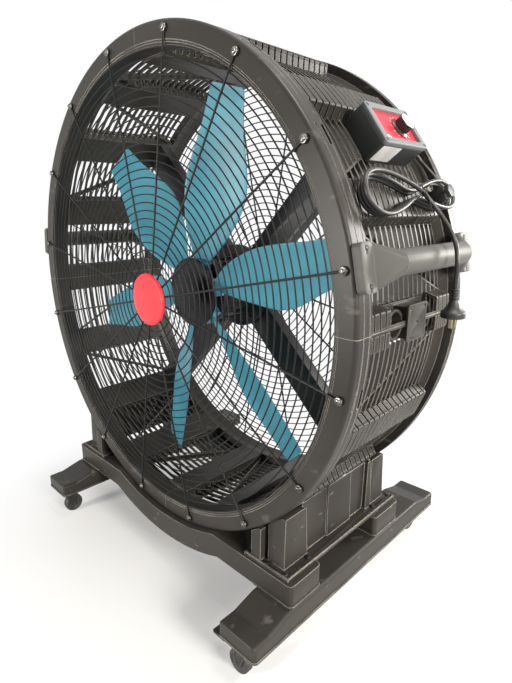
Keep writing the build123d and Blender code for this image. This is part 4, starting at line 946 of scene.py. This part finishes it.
def makeKeyholes():
    # a keyhole round each handle screw, a round hole with a slot below it, drawn as a thin near-black
    # disc and bar on the surface: painted shade for the hole's inside
    handle = {"angles": (11.25, 168.75), "top": 552, "offset": 28, "inset": 15,
              "hole": 4.4, "slot": 2.2, "tail": 9}
    parts, places = [], []
    for angle in handle["angles"]:
        for y in (handle["inset"], drumDepth - handle["inset"]):
            for side in (-1, 1):
                z = side * handle["offset"]
                disc, faces = lathe([(0, 0), (handle["hole"], 0), (handle["hole"], -1), (0, -1)],
                                    24, "X")
                disc[:, 0] += handle["top"] + 0.12
                disc = disc + np.array([0, y, z])
                parts.append((onDrum(turned(disc, angle)), faces))
                low = (handle["top"] - 1, y - handle["slot"], z - handle["tail"])
                tail, tailFaces = slab(low, (handle["top"] + 0.12, y + handle["slot"], z))
                parts.append((onDrum(turned(tail, angle)), tailFaces))
                places.append((around(handle["top"] + 0.1, y, z, angle), radialWay(angle)))
    makePiece("gripKeyholes", parts, holeShade)
    # the screw heads in the keyholes are painted the same near black, as painted shade
    screwSet("gripScrewHeads", places, 2.6, 0.5, holeShade, "frame")


makeKeyholes()
print("drum, handles and mounts made")


# control box

softened("control_box", 1.4, boxPlastic, segments=3)
softened("control_bezel", 0.7, bezelPlastic)
softened("control_panel", 0.3, panelFilm)
dress(knobPlastic, "knob_potentiometer")
softened("cord_gland", 0.8, knobPlastic)
softened("cord_holder", 1.2, boxPlastic, segments=3)


def onBox(points):
    return onDrum(turned(np.asarray(points, float), boxPlace["angle"]))


def makeBoxTrim():
    # slotted bezel screws, the bare label on the lower wall, the dial's marks and a pale patch
    face, middle = boxPlace["faceR"], boxPlace["middleY"]
    heads, slots = [], []
    for k, (sy, sz) in enumerate([(-1, -1), (-1, 1), (1, -1), (1, 1)]):
        y = middle + sy * (boxPlace["length"] / 2 - boxPlace["screwInset"])
        z = sz * (boxPlace["width"] / 2 - boxPlace["screwInset"])
        head, faces = lathe([(0, -0.5), (2.4, -0.55), (3.3, -0.9), (3.3, -2)], 24, "X")
        heads.append((onBox(head + np.array([face, y, z])), faces))
        # each slot is a near-black bar let into the head: painted shade in the slot
        bar, barFaces = slab((-1.2, -3.0, -0.5), (-0.42, 3.0, 0.5))
        slots.append((onBox(spun(bar, 20 + 50 * k) + np.array([face, y, z])), barFaces))
    makePiece("bezelScrewHeads", heads, zincPlate, sharp=50)
    makePiece("bezelScrewSlots", slots, holeShade)

    label = {"y": (150, 209), "x": (520, 553), "corner": 1.5, "thick": 0.25}
    wall = -boxPlace["width"] / 2
    loop = roundedLoop(rectangle(*label["y"], *label["x"]), label["corner"], 3)
    n = len(loop)
    points = np.concatenate([np.column_stack([loop[:, 1], loop[:, 0], np.full(n, wall - z)])
                             for z in (-0.05, label["thick"])])
    ends = [list(range(n)), list(range(n, 2 * n))]
    makePiece("bareLabel", [(onBox(points), gridFaces(2, n, closeColumns=True))], labelPaper,
              ends=ends)

    scale = {"y": middle + boxPlace["knobOffset"], "inner": 22, "outer": 25.5, "wide": 0.5,
             "marks": 11}
    top = face - boxPlace["bezel"] + boxPlace["panel"]
    marks = []
    for angle in np.linspace(-135, 135, scale["marks"]):
        bar, faces = slab((top - 0.1, -scale["wide"], scale["inner"]),
                          (top + 0.12, scale["wide"], scale["outer"]))
        marks.append((onBox(spun(bar, -angle) + np.array([0, scale["y"], 0])), faces))
    patch = [(-52, -29.2), (-28, -29.2), (-30, -24.0), (-37, -19.7), (-52, -18.8)]
    n = len(patch)
    points = np.concatenate([[(x, middle + y, z) for y, z in patch]
                             for x in (top - 0.1, top + 0.1)])
    marks.append((onBox(points), gridFaces(2, n, closeColumns=True)))
    count = sum(len(p) for p, f in marks[:-1])
    makePiece("dialScale", marks, whiteInk,
              ends=[[count + k for k in range(n)], [count + n + k for k in range(n)]])


def makeKnob():
    # skirt with marks, ribbed grip and a pale disc on top
    knob = {"y": boxPlace["middleY"] + boxPlace["knobOffset"], "skirt": 20, "grip": 14.6,
            "top": 15.6, "ribs": 22}
    base = boxPlace["faceR"] - boxPlace["bezel"] + boxPlace["panel"]
    centre = np.array([0, knob["y"], 0])
    skirt = [(0, base + 0.4), (knob["skirt"] - 0.6, base + 0.4), (knob["skirt"], base + 1.0),
             (knob["skirt"], base + 1.8), (knob["grip"] + 1, base + 4.2),
             (knob["grip"], base + 4.4)]
    parts = [lathe(skirt, 72, "X")]
    t = np.linspace(0, 2 * pi, knob["ribs"] * 8, endpoint=False)
    wave = 0.7 * np.clip(np.cos(knob["ribs"] * t) * 2, -1, 1)
    rows = []
    for x, shrink in ((base + 4, 0.4), (base + 5, 0), (base + 15.8, 0.3), (base + 16.6, 0.8)):
        r = knob["grip"] + wave - shrink
        rows.append(np.stack([x + 0 * t, r * np.cos(t), r * np.sin(t)], -1))
    parts.append((np.stack(rows).reshape(-1, 3), gridFaces(4, len(t), closeColumns=True)))
    brim = [(0, base + 16.0), (knob["top"] - 0.4, base + 16.0), (knob["top"], base + 16.5),
            (knob["top"], base + 18.2), (knob["top"] - 0.5, base + 18.7), (0, base + 18.7)]
    parts.append(lathe(brim, 72, "X"))
    body = makePiece("knobBody", [(onBox(p + centre), f) for p, f in parts], knobPlastic,
                     "knob", sharp=40)
    disc = [(0, base + 19.5), (knob["top"] - 2.2, base + 19.4), (knob["top"] - 1.2, base + 19.1),
            (knob["top"] - 0.9, base + 18.4)]
    points, faces = lathe(disc, 72, "X")
    makePiece("knobDisc", [(onBox(points + centre), faces)], capPlastic, "knob")
    marks = []
    for k in range(24):
        bar, faces = slab((base + 1.9, -0.35, knob["skirt"] - 2.6),
                          (base + 2.5, 0.35, knob["skirt"] - 0.5))
        marks.append((onBox(spun(bar, 15 * k) + centre), faces))
    line, faces = slab((base + 19.3, -0.5, 2), (base + 19.6, 0.5, knob["top"] - 2))
    marks.append((onBox(line + centre), faces))
    makePiece("knobMarks", marks, zincPlate, "knob")
    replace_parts(body, "speed_knob")


makeBoxTrim()
makeKnob()
print("control box made")


# base and casters

base = {"footX": (332, 430), "footY": (-117, 577), "bottom": -598, "corner": 9,
        "crossX": (316, 426), "crossLow": -550, "crossCorner": 10.5, "frontY": (-14, 80),
        "rearY": (283, 387), "plateX": (294.2, 367, 411.8), "plateCorner": 5,
        "plateY": (-6.8, 76.8, 311.2, 387.8), "plateTop": -494,
        "screwX": (299, 350, 398), "screwY": (0, 381), "sideScrewY": (70, 313)}
for name in ("cross_beam_front", "cross_beam_rear"):
    softened(name, 2.6, baseCharcoal, segments=3)
for side in ("right", "left"):
    softened(f"support_bracket_{side}", 1.5, baseCharcoal)
    softened(f"foot_beam_{side}", 1.8, baseCharcoal, segments=3,
             weighted=True)


def makeBaseTrim():
    # the lips along the beams' lower edges and the raised border of the bracket plates
    parts = []
    for side in (-1, 1):
        x0, x1 = sorted(side * x for x in base["footX"])
        loop = roundedLoop(rectangle(x0, x1, *base["footY"]), base["corner"])
        parts.append(rimStrip(loop, -0.5, 1.6, base["bottom"] + 0.3, base["bottom"] + 5))
        for y0, y1 in (base["frontY"], base["rearY"]):
            x0, x1 = sorted(side * x for x in base["crossX"])
            loop = roundedLoop(rectangle(x0, x1, y0, y1), base["crossCorner"])
            parts.append(rimStrip(loop, -0.5, 1.5, base["crossLow"] + 0.2,
                                  base["crossLow"] + 4.5))
        x, y = [side * v for v in base["plateX"]], base["plateY"]
        plate = [(x[0], y[0]), (x[2], y[0]), (x[2], y[3]), (x[0], y[3]), (x[0], y[2]),
                 (x[1], y[2]), (x[1], y[1]), (x[0], y[1])]
        loop = roundedLoop(plate if side > 0 else plate[::-1], base["plateCorner"])
        parts.append(rimStrip(loop, -2.0, 0.2, base["plateTop"] - 1, base["plateTop"] + 1.6))
    makePiece("baseTrim", [(onDrum(p), f) for p, f in parts], baseCharcoal,
              sharp=50)


makeBaseTrim()
bracketScrews = [(s * x, y) for s in (-1, 1)
                 for x, y in [(x, y) for y in base["screwY"] for x in base["screwX"]]
                 + [(base["screwX"][-1], y) for y in base["sideScrewY"]]]
bracketPlaces = [((x, y, base["plateTop"]), (0, 0, 1)) for x, y in bracketScrews]
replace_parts(screwSet("bracketScrewHeads", bracketPlaces, 5.6, 3.2, blackScrew, "frame"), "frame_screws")


def makeCasters():
    # rounded tread, dished side and hub of each wheel; forks, plates and pedals keep their shape
    tyre = {"radius": 25, "half": 10, "round": 4}
    a = np.linspace(0, pi / 2, 6)
    edge = [(tyre["radius"] - tyre["round"] + tyre["round"] * np.sin(v),
             -tyre["half"] + tyre["round"] * (1 - np.cos(v))) for v in a]
    side = [(4.2, -11), (7.2, -11), (8, -10.2), (8, -8.4), (9, -8), (15.5, -8), (17, -9.2),
            (17.6, -10)]
    profile = side + edge + [(tyre["radius"], tyre["half"] - tyre["round"])]
    profile += [(r, -y) for r, y in edge[::-1][1:]]
    profile += [(r, -y) for r, y in side[::-1]]
    for place in ("front_right", "front_left", "rear_right", "rear_left"):
        joint = joints[f"wheel_roll_{place}"]
        points, faces = lathe(profile, 56)
        way = Vector(joint["axis"])
        turn = np.array(Vector((0, 1, 0)).rotation_difference(way).to_matrix())
        points = points @ turn.T * mm + np.array(joint["pos_m"])
        wheel = makePiece(f"wheel_{place}", [(points, faces)], wheelRubber,
                          f"wheel_{place}", sharp=40)
        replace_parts(wheel, f"caster_wheel_{place}")
        softened(f"caster_fork_{place}", 0.6, casterPlastic, f"swivel_{place}")
        if place.startswith("front"):
            softened(f"brake_pedal_{place}", 0.7, casterPlastic, f"pedal_{place}")
    softened("caster_plates", 0.4, zincPlate)


makeCasters()
print("base and casters made")
